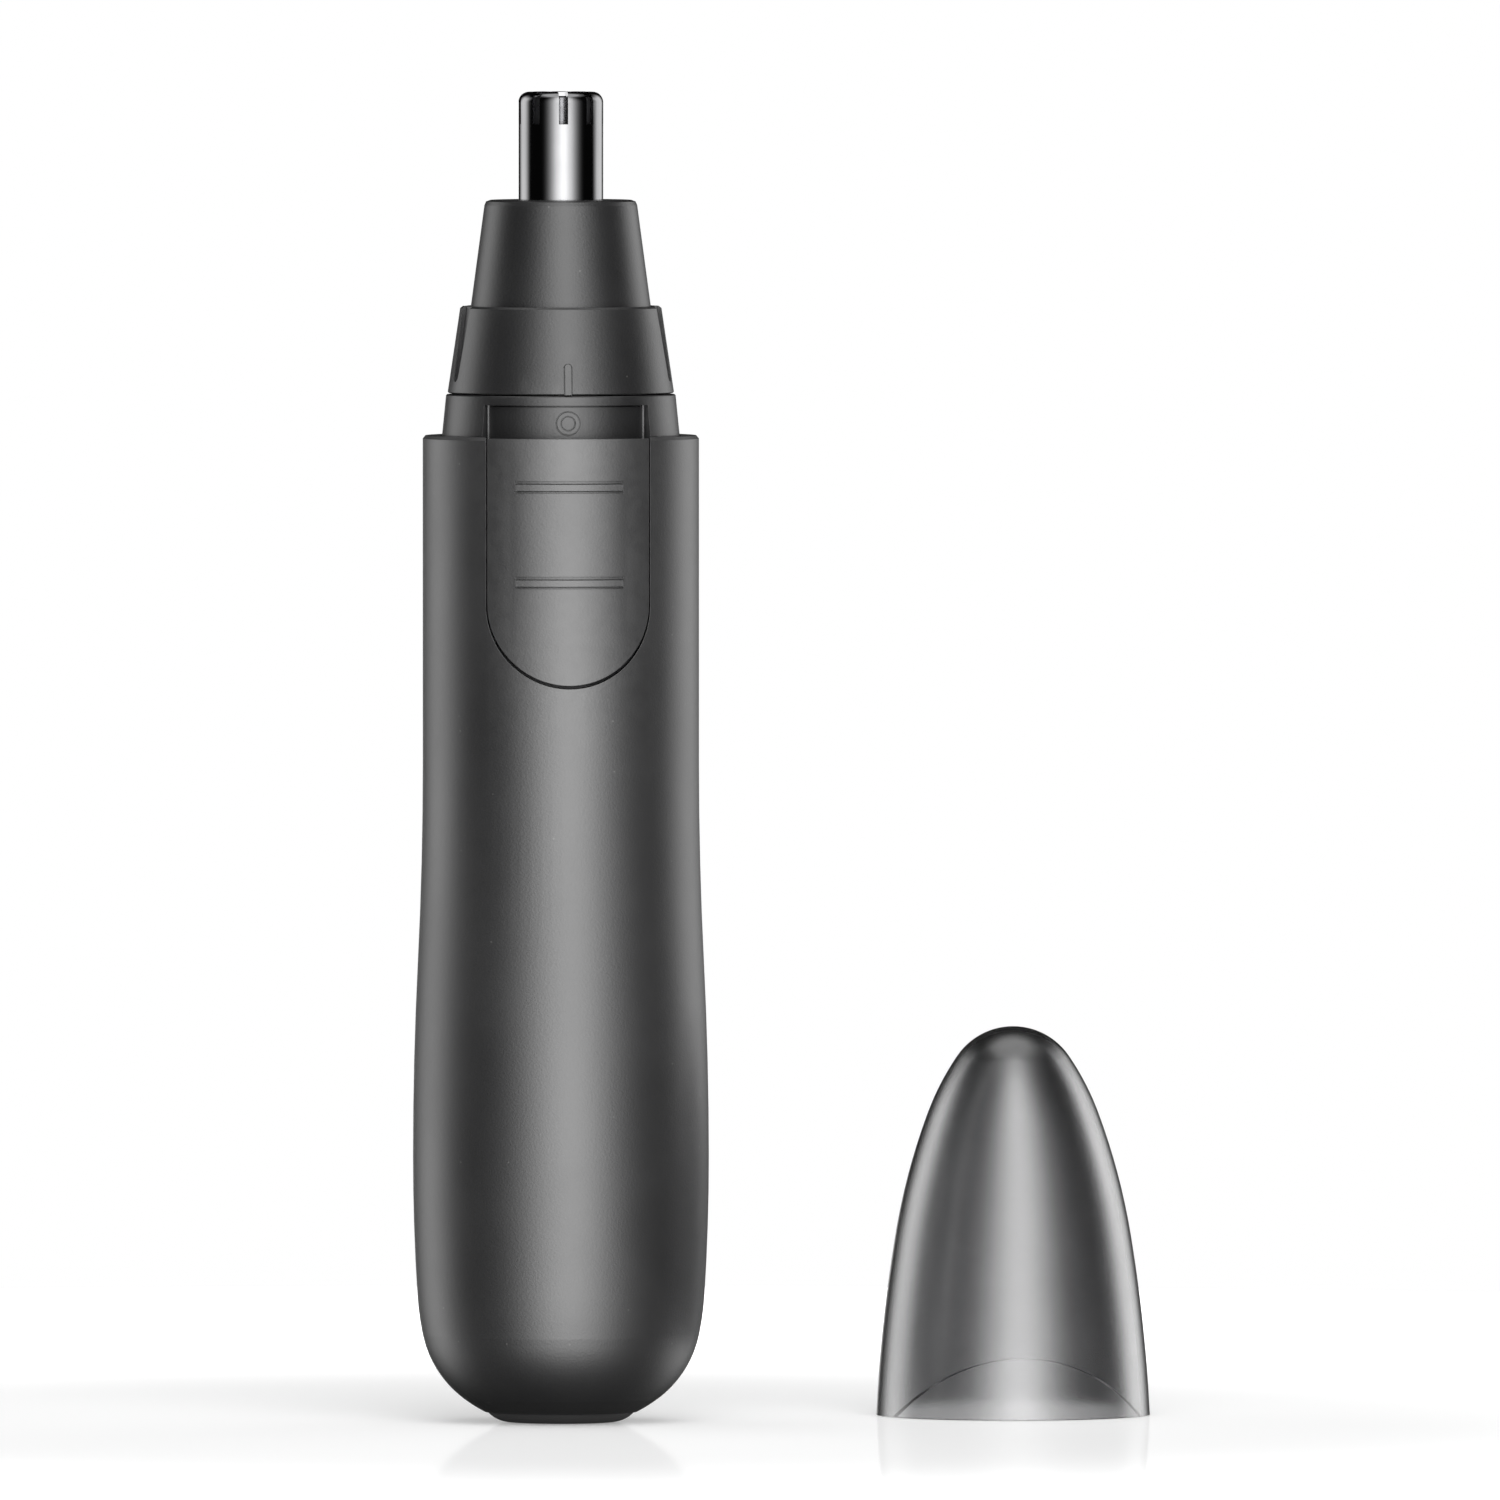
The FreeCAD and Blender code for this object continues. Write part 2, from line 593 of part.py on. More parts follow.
def cell_nodes():
    node("cell_can", turned_body("cell_can_body", [
        (0, "cell_base"), (5.6, "cell_base"), (5.9, "cell_base + 0.25"),
        ("cell_radius - 0.12", "cell_base + 0.25"), ("cell_radius - 0.12", "cell_top - 0.6"),
        ("cell_radius - 0.6", "cell_top - 0.1"), (3.6, "cell_top - 0.1"),
        (3.6, "cell_top - 0.5"), (0, "cell_top - 0.5")]))
    node("cell_wrap", turned_body("cell_wrap_body", [
        ("cell_radius - 0.12", "cell_base + 0.3"), ("cell_radius", "cell_base + 0.3"),
        ("cell_radius", "cell_top"), (4.6, "cell_top"), (4.6, "cell_top - 0.1"),
        ("cell_radius - 0.58", "cell_top - 0.1"), ("cell_radius - 0.12", "cell_top - 0.6")]))
    node("cell_button", turned_body("cell_button_body", [
        (0, "cell_top - 0.45"), (3.55, "cell_top - 0.45"), (3.55, "cell_top - 0.15"),
        (2.75, "cell_top + 0.1"), (2.6, "cell_top + 1.0"), (0, "cell_top + 1.0")]))


def negative_spring():
    spring = coil("minus_coil", 3.4, 0.35, 5.25, "cell_base - 0.02", 4)
    return node("negative_spring", spring)


def negative_strip():
    legs = [
        box("minus_foot", (-7.75, 4.0), (-1.2, 1.2), (5.02, 5.2)),
        box("minus_riser", (-7.75, -7.57), (-1.2, 1.2), (5.02, 8.6)),
        box("minus_step", (-10.85, -7.57), (-1.2, 1.2), (8.42, 8.6)),
        box("minus_back", (-10.85, -10.67), (-1.2, 1.2), (8.42, 65.4)),
        box("minus_tab", (-10.85, -10.1), (-1.2, 1.2), (65.2, 65.4)),
    ]
    return node("negative_strip", joined("minus_strip", *legs))


def positive_strip():
    legs = [
        box("plus_plate", (-4.0, 4.0), (-4.0, 4.0), (60.4, 60.6)),
        box("plus_arm", (-4.0, -1.0), (-8.5, -3.9), (60.4, 60.6)),
        box("plus_riser", (-4.0, -1.0), (-8.5, -8.32), (60.4, 82.0)),
    ]
    return node("positive_strip", joined("plus_strip", *legs))


def motor_strip():
    legs = [
        box("feed_tab", (1.0, 4.0), (-8.5, -7.1), (64.6, 64.8)),
        box("feed_riser", (1.0, 4.0), (-8.5, -8.32), (64.6, 70.0)),
        box("feed_narrow", (3.0, 4.0), (-8.5, -8.32), (69.0, 78.5)),
        box("feed_head", (1.0, 4.0), (-8.5, -8.32), (77.8, 82.0)),
    ]
    return node("motor_strip", joined("feed_strip", *legs))


# The motor


def motor_form(name, grow, low, high):
    """The round form with two flats, which the motor's can and end cap share."""
    return shared(name, post(name + "_round", f"motor_radius + {grow}", low, high),
                  box(name + "_flats", (-15, 15), (f"-motor_flat - {grow}", f"motor_flat + {grow}"),
                      (low, high)))


def motor_can():
    outside = joined("can_outside", motor_form("can_form", 0, "motor_seam", "motor_top"),
                     post("can_boss", 3.0, "motor_top - 1", "motor_top + 1.6"))
    inside = motor_form("can_inside", "(-motor_wall)", "motor_seam - 1", "motor_top - motor_wall")
    bush_hole = post("can_bush_hole", 2.0, "motor_top - 3", "motor_top + 3")
    vents = [box(f"can_vent_{i}", (x, x + 3), (-9, 9), (79, 81)) for i, x in enumerate((-5, 2))]
    return node("motor_can", less("can", outside, inside, bush_hole, *vents))


def motor_end_cap():
    lid = motor_form("end_form", 0, "motor_base", "motor_seam")
    plug = motor_form("end_plug", "(-motor_wall - 0.05)", "motor_seam - 1", "motor_seam + 1")
    hole = post("end_bush_hole", 2.0, "motor_base - 1", "motor_seam + 3")
    pocket = ring("end_pocket", 7.0, 3.2, 64.8, 68)
    well = post("end_well", 3.3, 66.2, 68)
    tabs = [box("end_tab_slot_a", (0.9, 4.1), (-9, -5.4), (64.3, 65.1)),
            box("end_tab_slot_b", (-11, -7.4), (-1.3, 1.3), (64.9, 65.7))]
    return node("motor_end_cap", less("end_cap", joined("end_solid", lid, plug), hole, pocket,
                                      well, *tabs))


def motor_bushes():
    upper = ring("bush_upper", 1.98, "shaft_radius + 0.03", 85.3, 87.5)
    lower = ring("bush_lower", 1.98, "shaft_radius + 0.03", 63.6, 65.6)
    return node("motor_bushes", group("bushes", [upper, lower]))


def motor_terminals():
    front = box("terminal_front", (1.1, 3.9), (-7.05, -5.5), (64.45, 64.95))
    side = box("terminal_side", (-10.0, -7.5), (-1.15, 1.15), (65.05, 65.55))
    return node("motor_terminals", group("terminals", [front, side]))


def motor_magnets():
    arcs = [ring(f"magnet_{i}", 9.1, 6.5, 68.0, 83.0, angle=80, start=turn)
            for i, turn in enumerate((-40, 140))]
    trimmed = [shared(f"magnet_trim_{i}", arc,
                      box(f"magnet_limit_{i}", (-12, 12), (-6.6, 6.6), (67, 84)))
               for i, arc in enumerate(arcs)]
    return node("motor_magnets", group("magnets", trimmed))


def motor_brushes():
    leaves = [box(f"brush_leaf_{i}", (x, x + 0.25), (-2.4, 2.4), (67.0, 68.9))
              for i, x in enumerate((-2.95, 2.7))]
    return node("motor_brushes", group("brushes", leaves))


def motor_shaft():
    return node("motor_shaft", post("shaft", "shaft_radius", 63.5, 92.0))


def motor_armature():
    core = post("core_hub", 2.4, 70.0, 81.0)
    poles = []
    for i in range(3):
        turn = 120 * i
        web = box(f"pole_web_{i}", (0, 5.4), (-0.9, 0.9), (70.0, 81.0))
        web.Placement.Rotation = Rotation(Vector(0, 0, 1), turn)
        place_turned(web, 0, -0.9, turn)
        shoe = ring(f"pole_shoe_{i}", 6.1, 4.9, 70.0, 81.0, angle=100, start=turn - 50)
        poles += [web, shoe]
    solid = joined("core_solid", core, *poles)
    return node("motor_armature", less("core", solid, post("core_bore", "shaft_radius", 60, 90)))


def place_turned(made, across, deep, turn):
    """Turn a block about the Z axis when its near corner is off that axis."""
    angle = math.radians(turn)
    x = across * math.cos(angle) - deep * math.sin(angle)
    y = across * math.sin(angle) + deep * math.cos(angle)
    made.setExpression("Placement.Base.x", str(round(x, 6)))
    made.setExpression("Placement.Base.y", str(round(y, 6)))


def motor_windings():
    coils = []
    for i in range(3):
        turn = 120 * i
        bundle = ring(f"winding_bundle_{i}", 4.75, 2.55, 69.2, 81.8, angle=70, start=turn - 35)
        slot = box(f"winding_slot_{i}", (0, 7), (-0.95, 0.95), (69.95, 81.05))
        slot.Placement.Rotation = Rotation(Vector(0, 0, 1), turn)
        place_turned(slot, 0, -0.95, turn)
        coils.append(less(f"winding_{i}", bundle, slot))
    return node("motor_windings", group("windings", coils))


def commutator():
    bars = [ring(f"commutator_bar_{i}", 2.5, "shaft_radius + 0.5", 66.6, 69.1, angle=112,
                 start=120 * i + 4) for i in range(3)]
    core = ring("commutator_core", "shaft_radius + 0.5", "shaft_radius", 66.4, 69.3)
    return node("commutator", group("commutator_set", bars + [core]))


def drive_coupling():
    body = turned_body("coupling_body", [
        (0, 92.0), ("shaft_radius", 92.0), ("shaft_radius", 89.2), (2.45, 89.2), (2.7, 89.6),
        (2.7, 98.0), (0, 98.0)])
    lugs = [ring(f"coupling_lug_{i}", 2.7, 1.3, 97.9, 100.3, angle=45, start=turn - 22.5)
            for i, turn in enumerate((0, 180))]
    return node("drive_coupling", joined("coupling", body, *lugs))


# The lock ring and the head


def ring_lean():
    """How far the side of the lock ring leans in from upright, in degrees."""
    return math.degrees(math.atan(size("(ring_low - ring_high) / (ring_top - ring_base)")))


def grip_groove(index, turn):
    """A groove up the leaning side, round below and wider above, which runs out at the top."""
    lean = math.radians(ring_lean())
    low, half, half_above, deep = 98.75, 0.62, 1.3, 0.42
    radius = size("ring_low") - (low - size("ring_base")) * math.tan(lean)
    angle = math.radians(turn)
    out = Vector(math.cos(angle), math.sin(angle), 0)
    up = Vector(0, 0, math.cos(lean)) - out * math.sin(lean)
    facing = Rotation(Vector(0, 0, 1), up).multiply(Rotation(Vector(0, 0, 1), turn + 90))
    foot = out * (radius - deep) + Vector(0, 0, low)
    stem = doc.addObject("Part::Wedge", f"grip_stem_{index}")
    tall = size("ring_top - ring_base")
    sides = {"Xmin": -half, "Xmax": half, "X2min": -half_above, "X2max": half_above,
             "Zmin": 0, "Zmax": 2, "Z2min": 0, "Z2max": 2, "Ymin": 0, "Ymax": tall}
    for side, value in sides.items():
        stem.setExpression(side, str(value))
    stem.Placement = Placement(foot, facing.multiply(Rotation(Vector(1, 0, 0), 90)))
    end = doc.addObject("Part::Cylinder", f"grip_end_{index}")
    end.setExpression("Radius", str(half))
    end.setExpression("Height", "2")
    end.Placement = Placement(foot, facing.multiply(Rotation(Vector(1, 0, 0), 90)))
    return joined(f"grip_{index}", stem, end)


def index_bar(name, grow, lift):
    """An upright strip at the front of the ring, round at its upper end."""
    lean = ring_lean()
    tilt = Rotation(Vector(1, 0, 0), -lean)
    half, tall = 0.3 + grow, 2.65
    foot = Vector(0, -size("ring_low") - lift, size("ring_base"))
    strip = doc.addObject("Part::Box", name + "_strip")
    strip.setExpression("Length", str(2 * half))
    strip.setExpression("Width", "0.8")
    strip.setExpression("Height", str(tall + 0.2))
    strip.Placement = Placement(foot + tilt.multVec(Vector(-half, 0, -0.2)), tilt)
    tip = doc.addObject("Part::Cylinder", name + "_tip")
    tip.setExpression("Radius", str(half))
    tip.setExpression("Height", "0.8")
    lie = Rotation(Vector(1, 0, 0), -90)
    tip.Placement = Placement(foot + tilt.multVec(Vector(0, 0, tall)), tilt.multiply(lie))
    return joined(name, strip, tip)


def lock_ring():
    fit = "hub_radius + ring_fit"
    body = turned_body("ring_body", [
        (fit, "ring_base"), ("ring_low - edge", "ring_base"), ("ring_low", "ring_base + edge"),
        ("ring_high + 0.05", "ring_top - 0.2"), ("ring_high - 0.2", "ring_top"),
        (8.85, "ring_top"), (8.72, "ring_top - 0.2"), (8.72, 102.3), (fit, 102.3),
        (fit, 101.7), (8.6, 101.7), (8.6, 100.8), (fit, 100.8)])
    stop_way = ring("stop_way", 9.3, "hub_radius - 0.2", "ring_base - 1", 98.1,
                    angle=50, start=47.5)
    grooves = [grip_groove(i, -90 + turn) for i, turn in enumerate((-105, -75, 75, 105))]
    bed = index_bar("index_bed", size("line_width - 0.01"), 0.6)
    below = box("index_below", (-2, 2), (-15, -5), ("ring_base - 1", "ring_base"))
    bar = less("index_bar", index_bar("index_mark", 0, 0.13), below)
    cut = less("ring_cut", body, stop_way, *grooves, bed)
    return node("lock_ring", joined("ring_marked", cut, bar))


def head_cone():
    body = turned_body("cone_body", [
        ("head_bore", "skirt_base"), (8.3, "skirt_base"), ("cone_low", "ring_top - 0.1"),
        ("cone_high + 0.06", "cone_top - 0.5"), ("cone_high - 0.1", "cone_top - 0.14"),
        ("cone_high - 0.5", "cone_top"), ("tube_radius + 0.02", "cone_top"),
        ("tube_radius + 0.02", "tube_base + 0.9"), ("head_bore", "tube_base + 0.9")])
    seal = new_sketch(body, "head_seal_groove_outline", "XZ_Plane")
    polygon(seal, [(7.95, 103.3), (9.5, 103.3), (9.5, 104.1), (7.95, 104.1)])
    revolve(body, "head_seal_groove", seal, kind="Groove")
    return node("head_cone", body)


def head_seal():
    made = doc.addObject("Part::Torus", "head_seal_round")
    made.setExpression("Radius1", "8.3")
    made.setExpression("Radius2", "0.34")
    made.setExpression("Placement.Base.z", "103.7")
    return node("head_seal", made)


def outer_cutter():
    body = new_body("tube_body")
    sketch = new_sketch(body, "tube_outline", "XZ_Plane")
    radius, top, bend = size("tube_radius"), size("tube_top"), size("tube_round")
    centre = Vector(radius - bend, top - bend, 0)
    side, crown = Vector(radius, top - bend, 0), Vector(radius - bend, top, 0)
    half_way = centre + Vector(bend * math.sin(math.pi / 4), bend * math.sin(math.pi / 4), 0)
    sketch.addGeometry(Part.Arc(side, half_way, crown), False)
    inner = size("tube_radius - tube_wall")
    corners = [(0, "tube_top"), (0, "tube_top - tube_wall"),
               ("tube_radius - tube_round", "tube_top - tube_wall")]
    roof = Vector(radius - bend, top - size("tube_wall"), 0)
    spots = [crown] + [Vector(size(a), size(b), 0) for a, b in corners]
    for one, other in zip(spots[:-1], spots[1:]):
        sketch.addGeometry(Part.LineSegment(one, other), False)
    within = bend - size("tube_wall")
    inner_half = centre + Vector(within * math.sin(math.pi / 4), within * math.sin(math.pi / 4), 0)
    inner_side = Vector(inner, top - bend, 0)
    sketch.addGeometry(Part.Arc(roof, inner_half, inner_side), False)
    rest = [(inner, "tube_base"), ("tube_radius + 0.8", "tube_base"),
            ("tube_radius + 0.8", "tube_base + 0.8"), ("tube_radius", "tube_base + 0.8")]
    spots = [inner_side] + [Vector(size(a), size(b), 0) for a, b in rest] + [side]
    for one, other in zip(spots[:-1], spots[1:]):
        sketch.addGeometry(Part.LineSegment(one, other), False)
    revolve(body, "tube_spin", sketch)
    slots = []
    for i in range(9):
        turn = 40 * i - 90
        slot = box(f"hair_slot_{i}", (1.5, 5.5), ("-slot_width / 2", "slot_width / 2"),
                   ("tube_top - slot_depth", "tube_top + 1"))
        angle = math.radians(turn)
        slot.Placement.Rotation = Rotation(Vector(0, 0, 1), turn)
        near, off = size("1.5"), size("slot_width / 2")
        slot.setExpression("Placement.Base.x",
                           str(round(near * math.cos(angle) + off * math.sin(angle), 6)))
        slot.setExpression("Placement.Base.y",
                           str(round(near * math.sin(angle) - off * math.cos(angle), 6)))
        slots.append(slot)
    return node("outer_cutter", less("tube", body, *slots))


def head_bush():
    return node("head_bush", ring("bush", "head_bore - 0.03", 1.65, 107.2, "tube_base"))


def head_retainer():
    return node("head_retainer", turned_body("retainer_body", [
        (3.3, 104.4), ("head_bore - 0.03", 104.4), ("head_bore - 0.03", 107.2), (3.3, 107.2)]))


# The inner cutter


def cutter_spindle():
    body = turned_body("spindle_body", [
        (0, 100.8), (2.7, 100.8), (2.7, 102.0), (1.6, 102.3), (1.6, 118.0), (1.1, 118.3),
        (1.1, 120.0), (0, 120.0)])
    lugs = [ring(f"spindle_lug_{i}", 2.7, 1.3, 98.4, 101.0, angle=45, start=turn - 22.5)
            for i, turn in enumerate((72.5, 252.5))]
    return node("cutter_spindle", joined("spindle", body, *lugs))


def inner_blade():
    """Two crossed upright blades on a socket pressed onto the spindle."""
    socket = post("blade_socket", 1.9, 118.4, "tube_top - tube_wall - 0.15")
    arms = []
    for i, turn in enumerate((25, 115)):
        arm = box(f"blade_arm_{i}", (-3.5, 3.5), (-0.4, 0.4), (120.6, "tube_top - tube_wall - 0.12"))
        angle = math.radians(turn)
        arm.Placement.Rotation = Rotation(Vector(0, 0, 1), turn)
        arm.setExpression("Placement.Base.x",
                          str(round(-3.5 * math.cos(angle) + 0.4 * math.sin(angle), 6)))
        arm.setExpression("Placement.Base.y",
                          str(round(-3.5 * math.sin(angle) - 0.4 * math.cos(angle), 6)))
        arms.append(arm)
    limit = turned_body("blade_limit", [
        (0, 119), (3.55, 119), (3.55, "tube_top - 1.0"), ("3.2", "tube_top - 0.62"),
        (2.9, "tube_top - 0.5"), (0, "tube_top - 0.5")])
    cross = shared("blade_cross", joined("blade_arms", *arms), limit)
    bore = post("blade_bore", 1.1, 118, 120.02)
    return node("inner_blade", less("blade", joined("blade_whole", socket, cross), bore))


def cutter_spring():
    return node("cutter_spring", coil("spring", 2.25, 0.25, 102.4, 106.8, 4))


def spring_washer():
    return node("spring_washer", ring("washer", 2.8, 1.68, 106.85, 107.1))


# The protective cap


def nose_to_axis(sketch, outline, start):
    """Fix both ends of a dome: its foot, and its nose square on the axis."""
    last, end, lines = outline
    pin_point(sketch, 0, 1, start[0], start[1])
    sketch.addConstraint(Sketcher.Constraint("Coincident", last, end, lines, 1))
    sketch.addConstraint(Sketcher.Constraint("PointOnObject", last, end, -2))
    sketch.addConstraint(Sketcher.Constraint("PointOnObject", last, 3, -2))


def protective_cap():
    body = new_body("cap_body")
    sketch = new_sketch(body, "cap_outline", "XZ_Plane")
    outside = [("cap_radius", 0, 2.6), ("150", 17), ("62", 28.6), ("25", 34.0), ("6.4", 36.55)]
    nose_to_axis(sketch, curved_outline(sketch, outside, [(0, 0)]), outside[0])
    revolve(body, "cap_spin", sketch)
    hollow = new_sketch(body, "cap_hollow_outline", "XZ_Plane")
    inside = [("cap_radius - cap_wall", -1, 2.6), ("150 - cap_wall", 17), ("62 - cap_wall", 28.2),
              ("25 - cap_wall", 33.3), ("6.4 - cap_wall", 35.2)]
    nose_to_axis(hollow, curved_outline(hollow, inside, [(0, -1)]), inside[0])
    revolve(body, "cap_hollow", hollow, kind="Groove")
    arch = bar_along_y("cap_arch", 13.25, -20, 20, 0, -7.5)
    band = ring("cap_band", "cap_radius - cap_wall + 0.45", 6, -0.5, 6)
    relief = shared("cap_relief", arch, band)
    made = less("cap", body, relief)
    made.setExpression("Placement.Base.x", sized("cap_across"))
    made.setExpression("Placement.Base.y", sized("cap_back"))
    return node("protective_cap", made)


MAKERS = [
    handle_shell, base_foot, slide_switch, switch_carrier, switch_bridge, inner_frame,
    frame_cover, frame_screws, neck_collar, neck_seal, ring_clip, shaft_seal, cell_nodes,
    negative_spring, negative_strip, positive_strip, motor_strip, motor_can, motor_end_cap,
    motor_bushes, motor_terminals, motor_magnets, motor_brushes, motor_shaft, motor_armature,
    motor_windings, commutator, drive_coupling, lock_ring, head_cone, head_seal, outer_cutter,
    head_bush, head_retainer, cutter_spindle, inner_blade, cutter_spring, spring_washer,
    protective_cap,
]


def check(thing):
    bad = {"Invalid", "Error"} & set(thing.State)
    if bad:
        raise RuntimeError(f"{thing.Name}: {thing.State}")
    shape = getattr(thing, "Shape", None)
    if shape is not None and not thing.isDerivedFrom("App::Plane"):
        if not shape.isNull() and not shape.isValid():
            raise RuntimeError(f"{thing.Name} is not a valid shape")


for maker in MAKERS:
    maker()
doc.recompute()
for thing in doc.Objects:
    if not thing.isDerivedFrom("App::OriginFeature"):
        check(thing)
for made in NODES:
    if made.Shape.isNull() or not made.Shape.Solids:
        raise RuntimeError(f"{made.Label} has no solid")
    made.Shape.exportStep(f"parts/{made.Label}.step")
    size_now = made.Shape.BoundBox
    print(made.Label, len(made.Shape.Solids), round(made.Shape.Volume, 1),
          [round(v, 2) for v in (size_now.XMin, size_now.XMax, size_now.YMin, size_now.YMax,
                                 size_now.ZMin, size_now.ZMax)])
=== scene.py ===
# %% [markdown]
# # A nose hair trimmer and its cap
#
# The solid parts come ready-made from the CAD step, each at its real place. This lesson gives
# them their finishes and lights them on a pale table. Lengths are in metres throughout.

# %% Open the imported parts
import json
import math

import bpy
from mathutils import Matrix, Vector


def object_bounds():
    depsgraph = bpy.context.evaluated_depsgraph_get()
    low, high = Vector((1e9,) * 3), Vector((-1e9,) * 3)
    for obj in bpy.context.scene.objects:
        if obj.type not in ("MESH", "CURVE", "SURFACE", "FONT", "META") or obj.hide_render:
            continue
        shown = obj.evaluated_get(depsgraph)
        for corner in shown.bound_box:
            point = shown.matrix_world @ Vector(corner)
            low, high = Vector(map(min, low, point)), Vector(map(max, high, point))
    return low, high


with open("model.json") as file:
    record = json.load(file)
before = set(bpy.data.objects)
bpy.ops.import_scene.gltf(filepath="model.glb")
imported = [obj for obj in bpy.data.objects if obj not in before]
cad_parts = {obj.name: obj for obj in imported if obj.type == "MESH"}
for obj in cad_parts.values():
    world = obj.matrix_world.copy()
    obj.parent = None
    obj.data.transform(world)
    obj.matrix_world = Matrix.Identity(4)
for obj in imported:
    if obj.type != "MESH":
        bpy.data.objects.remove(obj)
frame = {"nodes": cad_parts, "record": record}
cad_low, cad_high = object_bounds()
nodes = frame["nodes"]
print(f"{len(nodes)} parts, {cad_high.z - cad_low.z:.4f} m tall")

# %% [markdown]
# ## Smooth surfaces
#
# The solids arrive as fine facets. Shading across the small angles between facets and keeping
# the sharp edges sharp makes them look turned or moulded. Blender does this by marking edges by
# their angle, which leaves the shape as it is.

# %% Shade by angle
SHARP_ANGLE = math.radians(28)


def shade_by_angle(piece, limit=SHARP_ANGLE):
    """Shade a mesh smooth and mark the edges that turn by more than the limit as sharp."""
    mesh = piece.data
    mesh.set_sharp_from_angle(angle=limit)
    for face in mesh.polygons:
        face.use_smooth = True


print({name: len(part.data.polygons) for name, part in nodes.items()})

# %% [markdown]
# ## Effects the finishes share
#
# Moulded plastic and polished steel both show handling: a faint grain, patches that are a little
# shinier where fingers rub, and dust. Each effect is a small group of shader nodes with named
# inputs, so that one recipe serves many finishes with different values. The helpers below place
# one node each, so that a recipe reads as a sum and not as a list of links.


# %% Helpers for building shader nodes
def add_node(tree, kind, **settings):
    """Add a shader node and set its plain properties."""
    made = tree.nodes.new(kind)
    for name, value in settings.items():
        setattr(made, name, value)
    return made


def put(tree, socket, value):
    """Feed a socket from another socket, or set it to a number."""
    if hasattr(value, "is_output"):
        tree.links.new(value, socket)
    else:
        socket.default_value = value


def new_group(name, inputs, outputs):
    """Start a shader node group with named number inputs and outputs."""
    tree = bpy.data.node_groups.new(name, "ShaderNodeTree")
    for label, value in inputs.items():
        socket = tree.interface.new_socket(label, in_out="INPUT", socket_type="NodeSocketFloat")
        socket.default_value = value
    for label in outputs:
        tree.interface.new_socket(label, in_out="OUTPUT", socket_type="NodeSocketFloat")
    start = tree.nodes.new("NodeGroupInput")
    end = tree.nodes.new("NodeGroupOutput")
    return tree, start, end


def noise(tree, scale, detail, rough):
    """Noise in the part's own space; scale is in features per metre."""
    place = add_node(tree, "ShaderNodeTexCoord")
    texture = add_node(tree, "ShaderNodeTexNoise")
    tree.links.new(place.outputs["Object"], texture.inputs["Vector"])
    put(tree, texture.inputs["Scale"], scale)
    texture.inputs["Detail"].default_value = detail
    texture.inputs["Roughness"].default_value = rough
    return texture.outputs["Fac"]


def combine(tree, operation, first, second=0.0):
    """One Math node; each side is a socket or a number."""
    made = add_node(tree, "ShaderNodeMath", operation=operation)
    put(tree, made.inputs[0], first)
    put(tree, made.inputs[1], second)
    return made.outputs[0]


def remap(tree, value, source, target):
    """Move a value smoothly from the source range to the target range and clamp it there."""
    made = add_node(tree, "ShaderNodeMapRange", interpolation_type="SMOOTHSTEP")
    tree.links.new(value, made.inputs["Value"])
    for label, number in zip(("From Min", "From Max", "To Min", "To Max"), (*source, *target)):
        put(tree, made.inputs[label], number)
    return made.outputs["Result"]


print("helpers ready")

# %% [markdown]
# ### Grain
#
# The fine even texture that a spark-eroded mould leaves on plastic, and that grinding leaves on
# steel. It is only height, for a Bump node. An image of the texture would do as well, but noise
# has no seams on round parts.


# %% Grain group
def make_grain():
    tree, start, end = new_group("grain", {"Size": 4000.0, "Depth": 1.0}, ["Height"])
    fine = noise(tree, start.outputs["Size"], detail=4.0, rough=0.62)
    tree.links.new(combine(tree, "MULTIPLY", fine, start.outputs["Depth"]), end.inputs["Height"])
    return tree


GRAIN = make_grain()
print(GRAIN.name, [s.name for s in GRAIN.interface.items_tree])

# %% [markdown]
# ### Handling
#
# Fingers polish some patches and leave a thin film on others. Slow noise with a little finer
# noise in it gives the patches, and the group returns roughness around a middle value.

# %% Handling group
PATCH_EDGES = (0.35, 0.65)


def make_handling():
    tree, start, end = new_group(
        "handling", {"Roughness": 0.5, "Spread": 0.08, "Patch": 60.0}, ["Roughness", "Mask"])
    patches = noise(tree, start.outputs["Patch"], detail=5.0, rough=0.6)
    mask = remap(tree, patches, PATCH_EDGES, (0.0, 1.0))
    centred = combine(tree, "SUBTRACT", mask, 0.5)
    around = combine(tree, "MULTIPLY", centred, start.outputs["Spread"])
    rough = combine(tree, "ADD", start.outputs["Roughness"], around)
    tree.links.new(rough, end.inputs["Roughness"])
    tree.links.new(mask, end.inputs["Mask"])
    return tree


HANDLING = make_handling()
print(HANDLING.name, [s.name for s in HANDLING.interface.items_tree])

# %% [markdown]
# ### Edge rub
#
# Corners that are touched most turn paler or shinier. Pointiness tells how convex the surface is
# at a place, and noise breaks the line up so that it doesn't look drawn.

# %% Edge rub group
BREAK_EDGES = (0.35, 0.6)
LEAST_RUB = 0.3


def make_edge_rub():
    tree, start, end = new_group(
        "edge rub", {"Start": 0.52, "End": 0.62, "Break Up": 900.0, "Amount": 0.5}, ["Mask"])
    shape = add_node(tree, "ShaderNodeNewGeometry")
    corner = remap(tree, shape.outputs["Pointiness"],
                   (start.outputs["Start"], start.outputs["End"]), (0.0, 1.0))
    patches = noise(tree, start.outputs["Break Up"], detail=3.0, rough=0.5)
    broken = remap(tree, patches, BREAK_EDGES, (LEAST_RUB, 1.0))
    rubbed = combine(tree, "MULTIPLY", corner, broken)
    mask = combine(tree, "MULTIPLY", rubbed, start.outputs["Amount"])
    tree.links.new(mask, end.inputs["Mask"])
    return tree


EDGE_RUB = make_edge_rub()
print(EDGE_RUB.name, [s.name for s in EDGE_RUB.interface.items_tree])

